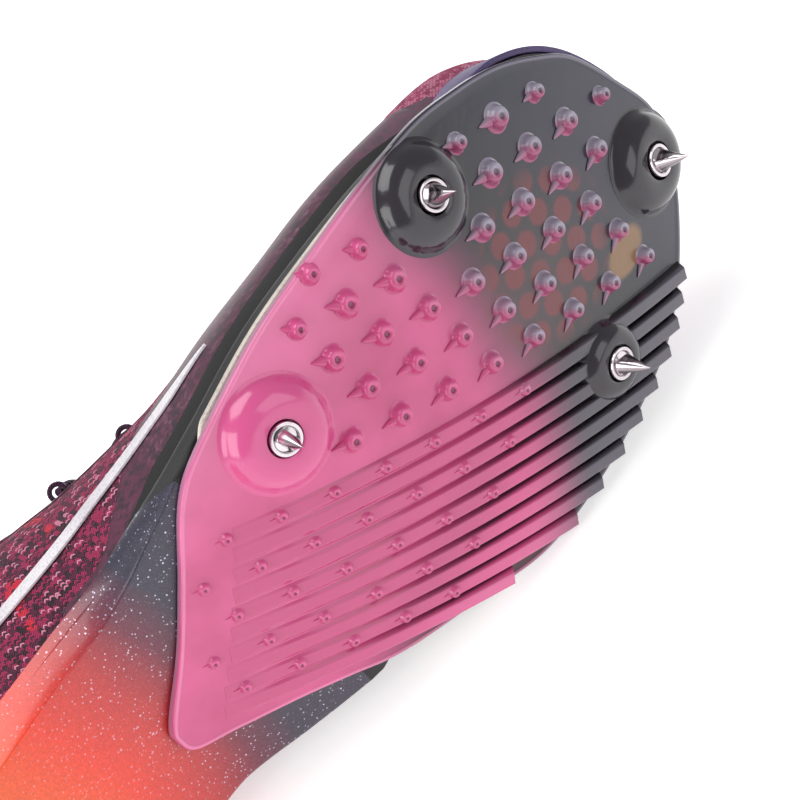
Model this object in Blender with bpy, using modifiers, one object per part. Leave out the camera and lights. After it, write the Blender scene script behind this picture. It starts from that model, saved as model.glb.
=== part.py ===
"""Track spike shoe, a right shoe lying on its inner side.

The shoe is laid out standing: X runs from the heel to the toe, Y to the inner side of the
foot and Z up, with all sizes in metres. Once every piece is built, the whole shoe is turned
onto its inner side, where the sole's edge and the upper both touch the floor.

Flat sizes (x, y, height) are bent onto the sole's curved base surface, which carries the toe
spring, the arch and the round underside of the forefoot.
"""
import math
from collections import namedtuple

import bmesh
import bpy
import numpy as np
from mathutils import Matrix, Vector

# Driving sizes
SHOE_LENGTH = 0.285
BALL_WIDTH = 0.0955
HEEL_WIDTH = 0.066
INSTEP_HEIGHT = 0.079
HEEL_HEIGHT = 0.084
SOLE_RISE = 0.030

# Walls and layers
UPPER_WALL = 0.0018
GAP = 0.0003
FLOOR_CLEAR = 0.0006
OUTSOLE_THICKNESS = 0.0020
OUTSOLE_SKIN = 0.0018
UNIT_THICKNESS = 0.0015
FLOOR_THICKNESS = 0.0024
RIM_WALL = 0.0014
RIM_RISE = 0.0040
BUMPER_RISE = 0.0068
SHELL_RIM_RISE = 0.0024
INSOLE_THICKNESS = 0.0030

# Layer heights over the base surface, from the ground up
OUTSOLE_TOP = OUTSOLE_SKIN + OUTSOLE_THICKNESS
UNIT_LOW = OUTSOLE_TOP + GAP
UNIT_TOP = UNIT_LOW + UNIT_THICKNESS
FLOOR_TOP = UNIT_TOP + GAP + FLOOR_THICKNESS

Station = namedtuple("Station", "along keel low_line cross_radius extra_stack shell_drop")
# Base surface from heel to toe. along is a share of SHOE_LENGTH, keel a share of SOLE_RISE,
# low_line a share of BALL_WIDTH, and the last three are metres.
STATIONS = (
    Station(0.000, 0.300, 0.060, 0.450, 0.0060, 0.0038),
    Station(0.045, 0.150, 0.060, 0.450, 0.0060, 0.0038),
    Station(0.125, 0.085, 0.060, 0.450, 0.0060, 0.0038),
    Station(0.210, 0.130, 0.030, 0.400, 0.0045, 0.0030),
    Station(0.300, 0.255, -0.050, 0.300, 0.0014, 0.0006),
    Station(0.370, 0.320, -0.120, 0.240, 0.0004, -0.0003),
    Station(0.440, 0.190, -0.130, 0.210, 0.0000, -0.0002),
    Station(0.525, 0.042, -0.095, 0.207, 0.0000, 0.0000),
    Station(0.605, 0.000, -0.052, 0.207, 0.0000, 0.0000),
    Station(0.700, 0.060, 0.000, 0.207, 0.0000, 0.0000),
    Station(0.807, 0.263, 0.056, 0.207, 0.0000, 0.0000),
    Station(0.912, 0.607, 0.113, 0.207, 0.0000, 0.0000),
    Station(1.000, 0.985, 0.160, 0.207, 0.0000, 0.0000),
)

Row = namedtuple("Row", "along width outer inner top_along top_outer top_inner "
                        "height rise swell lean start finish")
# Upper and sole outline from heel to toe. outer and inner are shares of width, rise a share
# of height, swell is metres, lean is the slope in degrees where the wall meets the opening,
# and start and finish are the lengths of its two curve handles, as shares of the wall.
ROWS = (
    Row(0.007, HEEL_WIDTH, 0.090, 0.090, 0.030, 0.090, 0.090, HEEL_HEIGHT, 1.000, 0.0045, 99, 0.33, 0.33),
    Row(0.032, HEEL_WIDTH, -0.197, 0.379, 0.044, -0.130, 0.305, HEEL_HEIGHT, 0.972, 0.0045, 97, 0.33, 0.33),
    Row(0.088, HEEL_WIDTH, -0.364, 0.545, 0.102, -0.285, 0.455, HEEL_HEIGHT, 0.880, 0.003, 94, 0.33, 0.33),
    Row(0.175, HEEL_WIDTH, -0.409, 0.583, 0.197, -0.356, 0.515, HEEL_HEIGHT, 0.800, 0.0015, 90, 0.33, 0.33),
    Row(0.281, HEEL_WIDTH, -0.402, 0.590, 0.295, -0.340, 0.480, HEEL_HEIGHT, 0.905, 0.0015, 78, 0.34, 0.33),
    Row(0.375, HEEL_WIDTH, -0.414, 0.595, 0.390, -0.245, 0.345, INSTEP_HEIGHT, 1.000, 0.002, 56, 0.36, 0.32),
    Row(0.453, BALL_WIDTH, -0.344, 0.415, 0.463, -0.135, 0.200, INSTEP_HEIGHT, 0.930, 0.002, 42, 0.33, 0.34),
    Row(0.530, BALL_WIDTH, -0.412, 0.408, 0.537, -0.128, 0.184, INSTEP_HEIGHT, 0.840, 0.002, 33, 0.32, 0.36),
    Row(0.611, BALL_WIDTH, -0.471, 0.466, 0.607, -0.115, 0.162, INSTEP_HEIGHT, 0.770, 0.003, 25, 0.38, 0.40),
    Row(0.684, BALL_WIDTH, -0.484, 0.500, 0.667, -0.098, 0.140, INSTEP_HEIGHT, 0.725, 0.004, 19, 0.42, 0.46),
    Row(0.765, BALL_WIDTH, -0.470, 0.496, 0.705, -0.076, 0.113, INSTEP_HEIGHT, 0.705, 0.006, 13, 0.42, 0.58),
    Row(0.842, BALL_WIDTH, -0.422, 0.460, 0.725, -0.045, 0.082, INSTEP_HEIGHT, 0.696, 0.009, 9, 0.34, 0.68),
    Row(0.917, BALL_WIDTH, -0.352, 0.356, 0.733, -0.010, 0.052, INSTEP_HEIGHT, 0.692, 0.011, 6, 0.27, 0.75),
    Row(0.966, BALL_WIDTH, -0.205, 0.194, 0.737, 0.008, 0.034, INSTEP_HEIGHT, 0.690, 0.012, 5, 0.23, 0.79),
    Row(0.988, BALL_WIDTH, 0.030, 0.030, 0.738, 0.021, 0.021, INSTEP_HEIGHT, 0.689, 0.012, 4, 0.22, 0.80),
)
HEEL_ROW = 0.0
TOE_ROW = len(ROWS) - 1.0

Edge = namedtuple("Edge", "along outer inner")
# Outsole plate outline from its rear point to the toe: shares of SHOE_LENGTH and BALL_WIDTH
PLATE_EDGES = (
    Edge(0.3660, 0.105, 0.105),
    Edge(0.3720, 0.060, 0.160),
    Edge(0.4040, -0.045, 0.205),
    Edge(0.4430, -0.185, 0.255),
    Edge(0.4880, -0.345, 0.320),
    Edge(0.5310, -0.415, 0.385),
    Edge(0.6070, -0.478, 0.458),
    Edge(0.6700, -0.494, 0.522),
    Edge(0.7440, -0.494, 0.524),
    Edge(0.8140, -0.471, 0.500),
    Edge(0.8630, -0.420, 0.470),
    Edge(0.9020, -0.361, 0.408),
    Edge(0.9340, -0.285, 0.335),
    Edge(0.9620, -0.190, 0.255),
    Edge(0.9800, -0.040, 0.172),
    Edge(0.9890, 0.080, 0.080),
)

# Cushion unit between outsole plate and forefoot plate, and where the plates end
UNIT_REAR = 0.512 * SHOE_LENGTH
UNIT_FRONT = 0.792 * SHOE_LENGTH
UNIT_INSET = 0.0004
UNIT_RAMP = 0.0040
FOREFOOT_REAR = 0.498 * SHOE_LENGTH
FOREFOOT_END_SLANT = 0.040 * SHOE_LENGTH
SLANT_ROWS = 1.5
BUMPER_ROW = 11.25
BUMPER_CLEAR_ROWS = 0.06
SHELL_CREASE_INSET = 0.0050

# Nubs stand on a skew grid; every other row carries a ridge, and one more lies between rows
GRID_ORIGIN = (0.493 * SHOE_LENGTH, -0.205 * BALL_WIDTH)
GRID_ALONG = Vector((0.04021052632 * SHOE_LENGTH, 0.05685863874 * BALL_WIDTH))
GRID_ACROSS = Vector((0.00389473684 * SHOE_LENGTH, 0.11015706806 * BALL_WIDTH))
NubRow = namedtuple("NubRow", "row first last")
NUB_ROWS = (
    NubRow(-1, 3, 10),
    NubRow(-2, 4, 10),
    NubRow(-3, 4, 10),
    NubRow(-4, 4, 11),
    NubRow(-5, 5, 12),
    NubRow(-6, 9, 11),
)
NUB_SIDES = 6
NUB_RADIUS_OUTER = 0.0029
NUB_RADIUS_INNER = 0.0017
NUB_TOP_SHARE = 0.62
NUB_HEIGHT = 0.0024
NUB_EDGE_SHARE = 0.72
NUB_EDGE_MARGIN = 0.0095
SINK = 0.0007

RIDGE_COUNT = 10
RIDGE_BASE_SHARE = 0.94
RIDGE_CREST_SHARE = 0.58
RIDGE_HEIGHT = 0.0028
RIDGE_START_INSET = 0.012
RIDGE_OVERHANG = 0.0010
RIDGE_STEP = 0.017

Spike = namedtuple("Spike", "name along across boss_radius")
SPIKES = (
    Spike("toe", 0.948, 0.132, 0.0110),
    Spike("ball_inner", 0.806, 0.316, 0.0092),
    Spike("ball_outer", 0.780, -0.357, 0.0112),
    Spike("rear_outer", 0.573, -0.293, 0.0122),
)
BOSS_HEIGHT = 0.0043
# Shares of a boss's radius and height, from its flat top to its foot
BOSS_PROFILE = ((0.50, 1.00), (0.66, 0.94), (0.82, 0.72), (0.94, 0.38), (1.00, 0.00))
CUP_RADIUS = 0.0038
CUP_DEPTH = 0.0026
CUP_PROUD = 0.0005
CUP_RECESS = 0.0014
CUP_LIP = 0.0007
SPIKE_LENGTH = 0.0072
SPIKE_FLANGE = 0.0008
SPIKE_SIDES = 8
ROUND_SIDES = 16

# Tongue, lace and eyelet loops
TONGUE_THICKNESS = 0.0030
TONGUE_REACH = 0.30
TONGUE_CROWN = 0.0035
TONGUE_TAB = 0.016
TONGUE_TAB_TAPER = 0.62
EYELET_ROWS = (9.55, 8.65, 7.75, 6.85, 5.95)
EYELET_INSET = 0.0062
LACE_RADIUS = 0.0010
LOOP_RADIUS = 0.0006
LACE_CLEAR = 0.0006

# Side tape on the outer wall
TAPE_REAR = 0.245 * SHOE_LENGTH
TAPE_FRONT = 0.600 * SHOE_LENGTH
TAPE_WIDTH = 0.0040
TAPE_THICKNESS = 0.0006
TAPE_HEIGHT_REAR = 0.0400
TAPE_HEIGHT_FRONT = 0.0290

DECK_STEPS = 7
INSOLE_STEPS = 4
WALL_STEPS = 7

Look = namedtuple("Look", "colour roughness metallic")
MATERIALS = {
    "knit": Look((0.28, 0.05, 0.13), 0.85, 0.0),
    "lining": Look((0.08, 0.03, 0.06), 0.9, 0.0),
    "plate_pink": Look((0.62, 0.14, 0.29), 0.25, 0.0),
    "plate_black": Look((0.015, 0.014, 0.018), 0.3, 0.0),
    "unit_clear": Look((0.75, 0.66, 0.58), 0.3, 0.0),
    "shell_orange": Look((0.9, 0.16, 0.06), 0.4, 0.0),
    "toe_navy": Look((0.07, 0.05, 0.12), 0.5, 0.0),
    "steel": Look((0.75, 0.75, 0.75), 0.2, 1.0),
    "tape_white": Look((0.85, 0.83, 0.84), 0.6, 0.0),
    "cord": Look((0.04, 0.02, 0.05), 0.8, 0.0),
}


def hermite(xs, table, x):
    """Smooth values of each table column at x, with slopes taken from the neighbouring rows."""
    slopes = np.gradient(table, xs, axis=0)
    i = int(np.clip(np.searchsorted(xs, x) - 1, 0, len(xs) - 2))
    step = xs[i + 1] - xs[i]
    t = (x - xs[i]) / step
    values = ((2 * t**3 - 3 * t**2 + 1) * table[i] + (t**3 - 2 * t**2 + t) * step * slopes[i]
              + (3 * t**2 - 2 * t**3) * table[i + 1] + (t**3 - t**2) * step * slopes[i + 1])
    return values.tolist()


STATION_X = np.array([s.along for s in STATIONS]) * SHOE_LENGTH
STATION_VALUES = np.array([[s.keel * SOLE_RISE, s.low_line * BALL_WIDTH, 1.0 / s.cross_radius,
                            s.extra_stack, s.shell_drop] for s in STATIONS])


def sole_values(x):
    """Keel height, low line, cross curvature, extra stack and shell drop at a station."""
    return hermite(STATION_X, STATION_VALUES, x)


def base_height(x, y):
    """Height of the curved base surface."""
    keel, low_line, curvature = sole_values(x)[:3]
    return keel + curvature * (y - low_line) ** 2 / 2


def base_normal(x, y):
    """Upward normal of the base surface."""
    step = 0.0005
    slope_x = (base_height(x + step, y) - base_height(x - step, y)) / (2 * step)
    slope_y = (base_height(x, y + step) - base_height(x, y - step)) / (2 * step)
    return Vector((-slope_x, -slope_y, 1.0)).normalized()


def bend(x, y, h):
    """Place a flat point (x, y, height) on the curved base surface."""
    return Vector((x, y, base_height(x, y))) + h * base_normal(x, y)


def stack_top(x):
    """Height of the footbed floor over the base surface."""
    return FLOOR_TOP + sole_values(x)[3]


def shell_bottom(x):
    """Height of the shell's underside over the base surface."""
    return UNIT_LOW - sole_values(x)[4]


class ClosedLoop:
    """A closed smooth curve through rows of values, mirrored outer and inner side.

    Row 0 and the last row are single points; the rows between give one point on each side.
    """

    def __init__(self, outer_rows, inner_rows):
        self.last = len(outer_rows) - 1
        self.rows = np.array(list(outer_rows) + list(inner_rows[-2:0:-1]), dtype=float)

    def at(self, side, row):
        """Values at a row number, on the outer (-1) or the inner (+1) side."""
        s = row if side < 0 else len(self.rows) - row
        i = int(math.floor(s))
        t = s - i
        p0, p1, p2, p3 = (self.rows[(i + k) % len(self.rows)] for k in (-1, 0, 1, 2))
        values = 0.5 * (2 * p1 + (p2 - p0) * t + (2 * p0 - 5 * p1 + 4 * p2 - p3) * t**2
                        + (3 * p1 - p0 - 3 * p2 + p3) * t**3)
        return values.tolist()

    def outward(self, side, row):
        """Outward direction in plan at a row number."""
        step = 0.02
        if side < 0:
            ahead, behind = self.at(-1, row + step), self.at(-1, row - step)
        else:
            ahead, behind = self.at(1, row - step), self.at(1, row + step)
        run = Vector((ahead[0] - behind[0], ahead[1] - behind[1])).normalized()
        return Vector((run.y, -run.x))

    def point(self, side, row, inset=0.0):
        """Plan point at a row number, moved inward by inset."""
        values = self.at(side, row)
        return Vector((values[0], values[1])) - inset * self.outward(side, row)

    def row_at(self, x, side=-1):
        """Row number where one side of the curve reaches a length x."""
        rows = np.linspace(0.0, self.last, 40 * self.last + 1)
        lengths = [self.at(side, r)[0] for r in rows]
        return float(np.interp(x, np.maximum.accumulate(lengths), rows))


def row_values(row, side):
    """One side's values of a row: sole point, opening point and wall shape."""
    across = row.outer if side < 0 else row.inner
    top_across = row.top_outer if side < 0 else row.top_inner
    return (row.along * SHOE_LENGTH, across * row.width, row.top_along * SHOE_LENGTH,
            top_across * row.width, row.rise * row.height, row.swell, row.lean, row.start, row.finish)


LAST = ClosedLoop([row_values(r, -1) for r in ROWS], [row_values(r, 1) for r in ROWS])
PLATE = ClosedLoop([(e.along * SHOE_LENGTH, e.outer * BALL_WIDTH) for e in PLATE_EDGES],
                   [(e.along * SHOE_LENGTH, e.inner * BALL_WIDTH) for e in PLATE_EDGES])

FEATHER_INSET = RIM_WALL + GAP


def rim_height(row):
    """Height over the base surface at which the upper's wall leaves the sole's rim."""
    return stack_top(LAST.at(-1, row)[0]) + (RIM_RISE if row < BUMPER_ROW else BUMPER_RISE)


def wall_point(side, row, t):
    """Point on the outside of the upper's wall, from the rim (0) to the opening (1)."""
    values = LAST.at(side, row)
    foot = LAST.point(side, row, FEATHER_INSET)
    outward = LAST.outward(side, row)
    start = bend(foot.x, foot.y, rim_height(row) + 2 * GAP)
    top = Vector(values[2:5])
    swell, lean, first, last = values[5], math.radians(values[6]), values[7], values[8]
    reach = (top - start).length
    inward = Vector((top.x - start.x, top.y - start.y, 0.0)).normalized()
    handle_one = start + first * reach * base_normal(foot.x, foot.y) + swell * outward.to_3d()
    handle_two = top - last * reach * (math.cos(lean) * inward + math.sin(lean) * Vector((0, 0, 1)))
    return ((1 - t) ** 3 * start + 3 * t * (1 - t) ** 2 * handle_one
            + 3 * t**2 * (1 - t) * handle_two + t**3 * top)


def wall_normal(side, row, t):
    """Outward normal of the upper's wall."""
    step = 0.02
    low, high = max(t - step, 0.0), min(t + step, 1.0)
    up = wall_point(side, row, high) - wall_point(side, row, low)
    along = wall_point(side, row + step, t) - wall_point(side, row - step, t)
    normal = along.cross(up) if side > 0 else up.cross(along)
    return -normal.normalized()


def inside_wall(side, row, t, depth):
    """Point at a depth under the outside of the upper's wall."""
    return wall_point(side, row, t) - depth * wall_normal(side, row, t)


def collection(name):
    """New collection linked to the scene."""
    made = bpy.data.collections.new(name)
    bpy.context.scene.collection.children.link(made)
    return made


def material(name):
    """Principled material with the table's colour, roughness and metallic value."""
    if name in bpy.data.materials:
        return bpy.data.materials[name]
    look = MATERIALS[name]
    made = bpy.data.materials.new(name)
    made.use_nodes = True
    shader = made.node_tree.nodes["Principled BSDF"]
    shader.inputs["Base Color"].default_value = (*look.colour, 1.0)
    shader.inputs["Roughness"].default_value = look.roughness
    shader.inputs["Metallic"].default_value = look.metallic
    return made


def object_from(name, mesh, look, group):
    """New object holding a mesh, with its material."""
    made = bpy.data.objects.new(name, mesh)
    made.data.materials.append(material(look))
    group.objects.link(made)
    return made


def clean_body(bm):
    """Weld coincident points, drop what collapsed, and point the faces out."""
    bmesh.ops.remove_doubles(bm, verts=bm.verts, dist=1e-5)
    bmesh.ops.dissolve_degenerate(bm, edges=bm.edges, dist=1e-6)
    bmesh.ops.recalc_face_normals(bm, faces=bm.faces)


def skin(bm, rings, capped=True):
    """Faces between closed rings of vertices, with both ends capped or left open."""
    count = len(rings[0])
    for low, high in zip(rings, rings[1:]):
        for k in range(count):
            n = (k + 1) % count
            bm.faces.new((low[k], low[n], high[n], high[k]))
    if capped:
        bm.faces.new(rings[0][::-1])
        bm.faces.new(rings[-1])


def loft(name, loops, look, group, capped=True):
    """Solid through closed loops of points that all have the same count, or an open sleeve."""
    bm = bmesh.new()
    skin(bm, [[bm.verts.new(p) for p in loop] for loop in loops], capped)
    clean_body(bm)
    bmesh.ops.triangulate(bm, faces=[f for f in bm.faces if len(f.verts) > 4])
    mesh = bpy.data.meshes.new(name)
    bm.to_mesh(mesh)
    bm.free()
    return object_from(name, mesh, look, group)


def bake(made):
    """Replace an object's mesh by its evaluated mesh and drop the modifiers."""
    depsgraph = bpy.context.evaluated_depsgraph_get()
    mesh = bpy.data.meshes.new_from_object(made.evaluated_get(depsgraph))
    made.modifiers.clear()
    made.data = mesh


def rows_between(first, last, extra=()):
    """Row numbers of a piece: its two ends and the half rows between, with some extra ones."""
    inner = [r / 2 for r in range(int(2 * HEEL_ROW), int(2 * TOE_ROW) + 1)]
    inner = [r for r in inner if first + 0.2 < r < last - 0.2]
    extra = [r for r in extra if first + 0.01 < r < last - 0.01]
    return sorted(set([first, *inner, *extra, last]))


TOE_EXTRA = (12.75, 13.25, 13.75)
HEEL_EXTRA = (0.25, 0.75)


def deck_points(row, inset, height, loop=LAST, steps=DECK_STEPS):
    """Flat points across the shoe at a row, from the outer to the inner side."""
    outer, inner = loop.point(-1, row, inset), loop.point(1, row, inset)
    points = []
    for share in (k / steps for k in range(steps + 1)):
        p = outer.lerp(inner, share)
        points.append((p.x, p.y, height(p.x) if callable(height) else height))
    return points


def slab_loop(row, inset, low, high, loop=LAST, steps=DECK_STEPS):
    """Closed flat section of a plate between two heights."""
    return (deck_points(row, inset, low, loop=loop, steps=steps)
            + deck_points(row, inset, high, loop=loop, steps=steps)[::-1])


def cup_loop(low_row, top_row, low, rise, low_inset=0.0):
    """Closed flat section of a cupped sole: underside, rim, floor and rim.

    The underside lies at low_row, and the floor and rim at top_row, so that an end can slant.
    """
    outer, inner = LAST.point(-1, top_row), LAST.point(1, top_row)
    outer_in, inner_in = LAST.point(-1, top_row, RIM_WALL), LAST.point(1, top_row, RIM_WALL)
    return (deck_points(low_row, low_inset, low)
            + [(inner.x, inner.y, stack_top(inner.x) + rise),
               (inner_in.x, inner_in.y, stack_top(inner_in.x) + rise)]
            + deck_points(top_row, RIM_WALL, stack_top)[::-1]
            + [(outer_in.x, outer_in.y, stack_top(outer_in.x) + rise),
               (outer.x, outer.y, stack_top(outer.x) + rise)])


def rim_row(row, low_end, top_end, pivot):
    """Row of a cup's rim over a row of its underside; they part from the pivot to a slanted end."""
    return row + (top_end - low_end) * max(0.0, (row - pivot) / (low_end - pivot))


def forefoot_rows(offset):
    """Rows of the ramps over the cushion unit, and of the joint's underside and rim."""
    ramps = [LAST.row_at(x) for x in (UNIT_REAR, UNIT_REAR + UNIT_RAMP,
                                      UNIT_FRONT - UNIT_RAMP, UNIT_FRONT)]
    low_end = LAST.row_at(FOREFOOT_REAR + offset)
    top_end = LAST.row_at(FOREFOOT_REAR - FOREFOOT_END_SLANT + offset)
    return ramps, low_end, top_end


def bent(loops):
    """Bend flat loops onto the base surface."""
    return [[bend(*p) for p in loop] for loop in loops]


def build_upper(group):
    """Knit upper: one wall from the sole's rim to the collar and throat edge."""
    rows = rows_between(HEEL_ROW, TOE_ROW, TOE_EXTRA + HEEL_EXTRA + (BUMPER_ROW,))
    around = [(-1, r) for r in rows] + [(1, r) for r in rows[-2:0:-1]]
    rings = []
    base = []
    for side, row in around:
        foot = LAST.point(side, row, FEATHER_INSET)
        base.append(bend(foot.x, foot.y, stack_top(foot.x) + FLOOR_CLEAR))
    rings.append(base)
    for step in range(WALL_STEPS + 1):
        rings.append([wall_point(side, row, step / WALL_STEPS) for side, row in around])
    upper = loft("upper", rings, "knit", group, capped=False)
    solid = upper.modifiers.new("wall", "SOLIDIFY")
    solid.thickness = UPPER_WALL
    solid.offset = -1.0
    solid.use_even_offset = True
    solid.use_quality_normals = True
    return upper


def build_insole(group):
    """Insole on the floor of the sole, inside the upper."""
    inset = FEATHER_INSET + UPPER_WALL + 3 * GAP
    loops = []
    for row in rows_between(HEEL_ROW, TOE_ROW, TOE_EXTRA + HEEL_EXTRA):
        loops.append(slab_loop(row, inset, lambda x: stack_top(x) + FLOOR_CLEAR,
                               lambda x: stack_top(x) + FLOOR_CLEAR + INSOLE_THICKNESS,
                               steps=INSOLE_STEPS))
    return loft("insole", bent(loops), "lining", group)


def underside(x):
    """Underside of the forefoot plate, raised where the cushion unit lies under it."""
    ramp = min(x - UNIT_REAR, UNIT_FRONT - x) / UNIT_RAMP
    return UNIT_LOW + (UNIT_THICKNESS + GAP) * min(max(ramp, 0.0), 1.0)


def toe_rows():
    """Rows of the toe, shared by the bumper and the floor that it wraps."""
    return rows_between(BUMPER_ROW, TOE_ROW, TOE_EXTRA)


def build_forefoot_plate(group):
    """Black forefoot plate: a floor with a rim, without a rim where the toe bumper sits."""
    ramps, low_end, top_end = forefoot_rows(GAP / 2)
    front = BUMPER_ROW - BUMPER_CLEAR_ROWS
    loops = []
    for row in rows_between(low_end, front, ramps + [math.floor(front)]):
        top_row = rim_row(row, low_end, top_end, low_end + SLANT_ROWS)
        loops.append(cup_loop(row, top_row, underside, RIM_RISE))
    for row in [front + BUMPER_CLEAR_ROWS / 2] + toe_rows():
        points = deck_points(row, FEATHER_INSET, underside)
        top = deck_points(row, FEATHER_INSET, stack_top)[::-1]
        loops.append(points + [top[0], top[0]] + top + [top[-1], top[-1]])
    return loft("forefoot_plate", bent(loops), "plate_black", group)


def build_toe_bumper(group):
    """Toe bumper: a strip around the toe, outside the floor of the forefoot plate."""
    rows = toe_rows()
    around = [(-1, r) for r in rows] + [(1, r) for r in rows[-2::-1]]
    loops = []
    for side, row in around:
        outer = LAST.point(side, row)
        inner = LAST.point(side, row, RIM_WALL)
        high = stack_top(outer.x) + (RIM_RISE if row == BUMPER_ROW else BUMPER_RISE)
        loops.append([bend(outer.x, outer.y, UNIT_LOW), bend(outer.x, outer.y, high),
                      bend(inner.x, inner.y, high), bend(inner.x, inner.y, UNIT_LOW)])
    return loft("toe_bumper", loops, "toe_navy", group)


def build_cushion_unit(group):
    """Thin clear cushion unit under the ball of the foot, thinned at its two ends."""
    ramps = forefoot_rows(0.0)[0]
    end = UNIT_RAMP * 2.5 * GAP / (UNIT_THICKNESS + GAP)
    first, last = LAST.row_at(UNIT_REAR + end), LAST.row_at(UNIT_FRONT - end)
    loops = [slab_loop(row, UNIT_INSET, UNIT_LOW, lambda x: underside(x) - GAP)
             for row in rows_between(first, last, ramps[1:3])]
    return loft("cushion_unit", bent(loops), "unit_clear", group)


def build_shell(group):
    """Midfoot and heel shell: cupped sole unit with a crease between underside and side."""
    low_end, top_end = forefoot_rows(-GAP / 2)[1:]
    loops = []
    for row in rows_between(HEEL_ROW, low_end, HEEL_EXTRA):
        crease = SHELL_CREASE_INSET * min(1.0, (low_end - row) / SLANT_ROWS)
        rise = SHELL_RIM_RISE + (RIM_RISE - SHELL_RIM_RISE) * (row / low_end) ** 4
        top_row = rim_row(row, low_end, top_end, low_end - SLANT_ROWS)
        loops.append(cup_loop(row, top_row, shell_bottom, rise, low_inset=crease))
    return loft("midfoot_shell", bent(loops), "shell_orange", group)


def flat_spike(spike):
    """Plan place of a spike."""
    return Vector((spike.along * SHOE_LENGTH, spike.across * BALL_WIDTH))


def grid_point(i, j):
    """Plan place of a nub on the skew grid."""
    return Vector(GRID_ORIGIN) + i * GRID_ALONG + j * GRID_ACROSS


def plate_polygon(inset=0.0):
    """Plan outline of the outsole plate."""
    rows = np.linspace(0.0, PLATE.last, 61).tolist()
    outer = [PLATE.point(-1, r, inset) for r in rows]
    inner = [PLATE.point(1, r, inset) for r in rows[-2:0:-1]]
    return outer + inner


def inside(point, polygon):
    """Whether a plan point lies inside a polygon."""
    hit = False
    for a, b in zip(polygon, polygon[1:] + polygon[:1]):
        if (a.y > point.y) != (b.y > point.y):
            if point.x < a.x + (point.y - a.y) * (b.x - a.x) / (b.y - a.y):
                hit = not hit
    return hit


def crossings(origin, direction, polygon):
    """Distances along a line at which it crosses a polygon."""
    found = []
    for a, b in zip(polygon, polygon[1:] + polygon[:1]):
        edge = b - a
        turn = direction.x * edge.y - direction.y * edge.x
        if abs(turn) > 1e-12:
            gap = a - origin
            t = (gap.x * edge.y - gap.y * edge.x) / turn
            s = (gap.x * direction.y - gap.y * direction.x) / turn
            if 0.0 <= s < 1.0:
                found.append(t)
    return sorted(found)


def cutter(name, bm, group):
    """Hidden guide object used by a Boolean modifier."""
    clean_body(bm)
    mesh = bpy.data.meshes.new(name)
    bm.to_mesh(mesh)
    bm.free()
    made = bpy.data.objects.new(name, mesh)
    made.display_type = "WIRE"
    made.hide_render = True
    group.objects.link(made)
    return made


def add_boolean(made, other, operation):
    """Boolean modifier with a hidden guide object."""
    cut = made.modifiers.new(other.name, "BOOLEAN")
    cut.operation = operation
    cut.solver = "EXACT"
    cut.object = other


def turned_profile(bm, centre, profile, sides):
    """Closed turned body from (radius, height) points listed from its top to its bottom."""
    rings = []
    for radius, height in profile:
        ring = []
        for k in range(sides):
            angle = 2 * math.pi * k / sides
            ring.append(bm.verts.new((centre.x + radius * math.cos(angle),
                                      centre.y + radius * math.sin(angle), height)))
        rings.append(ring)
    skin(bm, rings)


def build_nubs(group):
    """All free nubs as one guide object of separate truncated cones."""
    bm = bmesh.new()
    near_edge = plate_polygon(NUB_EDGE_MARGIN)
    for nub_row in NUB_ROWS:
        for i in range(nub_row.first, nub_row.last + 1):
            place = grid_point(i, nub_row.row)
            clear = all((place - flat_spike(s)).length > s.boss_radius + NUB_RADIUS_INNER for s in SPIKES)
            if not clear:
                continue
            share = min(max(place.y / BALL_WIDTH + 0.5, 0.0), 1.0)
            radius = NUB_RADIUS_OUTER + share * (NUB_RADIUS_INNER - NUB_RADIUS_OUTER)
            if not inside(place, near_edge):
                radius *= NUB_EDGE_SHARE
            turned_profile(bm, place, ((radius * NUB_TOP_SHARE, OUTSOLE_SKIN - NUB_HEIGHT),
                                       (radius, OUTSOLE_SKIN), (radius, OUTSOLE_SKIN + SINK)), NUB_SIDES)
    return cutter("nub_guide", bm, group)


def build_ridges(group):
    """Tapered ridges, from nothing near the outer edge to full height at the inner edge."""
    bm = bmesh.new()
    direction = GRID_ALONG.normalized()
    across = Vector((-direction.y, direction.x))
    pitch = abs(GRID_ACROSS.dot(across)) / 2
    outline = plate_polygon()
    for k in range(RIDGE_COUNT):
        origin = grid_point(0, k / 2)
        edges = [origin + sign * RIDGE_BASE_SHARE * pitch / 2 * across for sign in (-1, 1)]
        start = crossings(origin, direction, outline)[0] + RIDGE_START_INSET
        end = min(crossings(edge, direction, outline)[-1] for edge in edges) + RIDGE_OVERHANG
        steps = math.ceil((end - start) / RIDGE_STEP)
        rings = []
        for n in range(steps + 1):
            centre = origin + (start + (end - start) * n / steps) * direction
            low = OUTSOLE_SKIN - RIDGE_HEIGHT * max(n, 0.05) / steps
            half = ((RIDGE_BASE_SHARE, OUTSOLE_SKIN + SINK), (RIDGE_BASE_SHARE, OUTSOLE_SKIN),
                    (RIDGE_CREST_SHARE, low))
            ring = [(centre - share * pitch / 2 * across, height) for share, height in half]
            ring += [(centre + share * pitch / 2 * across, height) for share, height in half[::-1]]
            rings.append([bm.verts.new((p.x, p.y, height)) for p, height in ring])
        skin(bm, rings)
    return cutter("ridge_guide", bm, group)


def build_bosses(group):
    """Round spike bosses with their sockets left open for the metal cups."""
    bm = bmesh.new()
    for spike in SPIKES:
        profile = [(share * spike.boss_radius, OUTSOLE_SKIN - rise * BOSS_HEIGHT)
                   for share, rise in BOSS_PROFILE]
        profile.append((spike.boss_radius, OUTSOLE_SKIN + SINK))
        turned_profile(bm, flat_spike(spike), profile, ROUND_SIDES)
    return cutter("boss_guide", bm, group)


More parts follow.
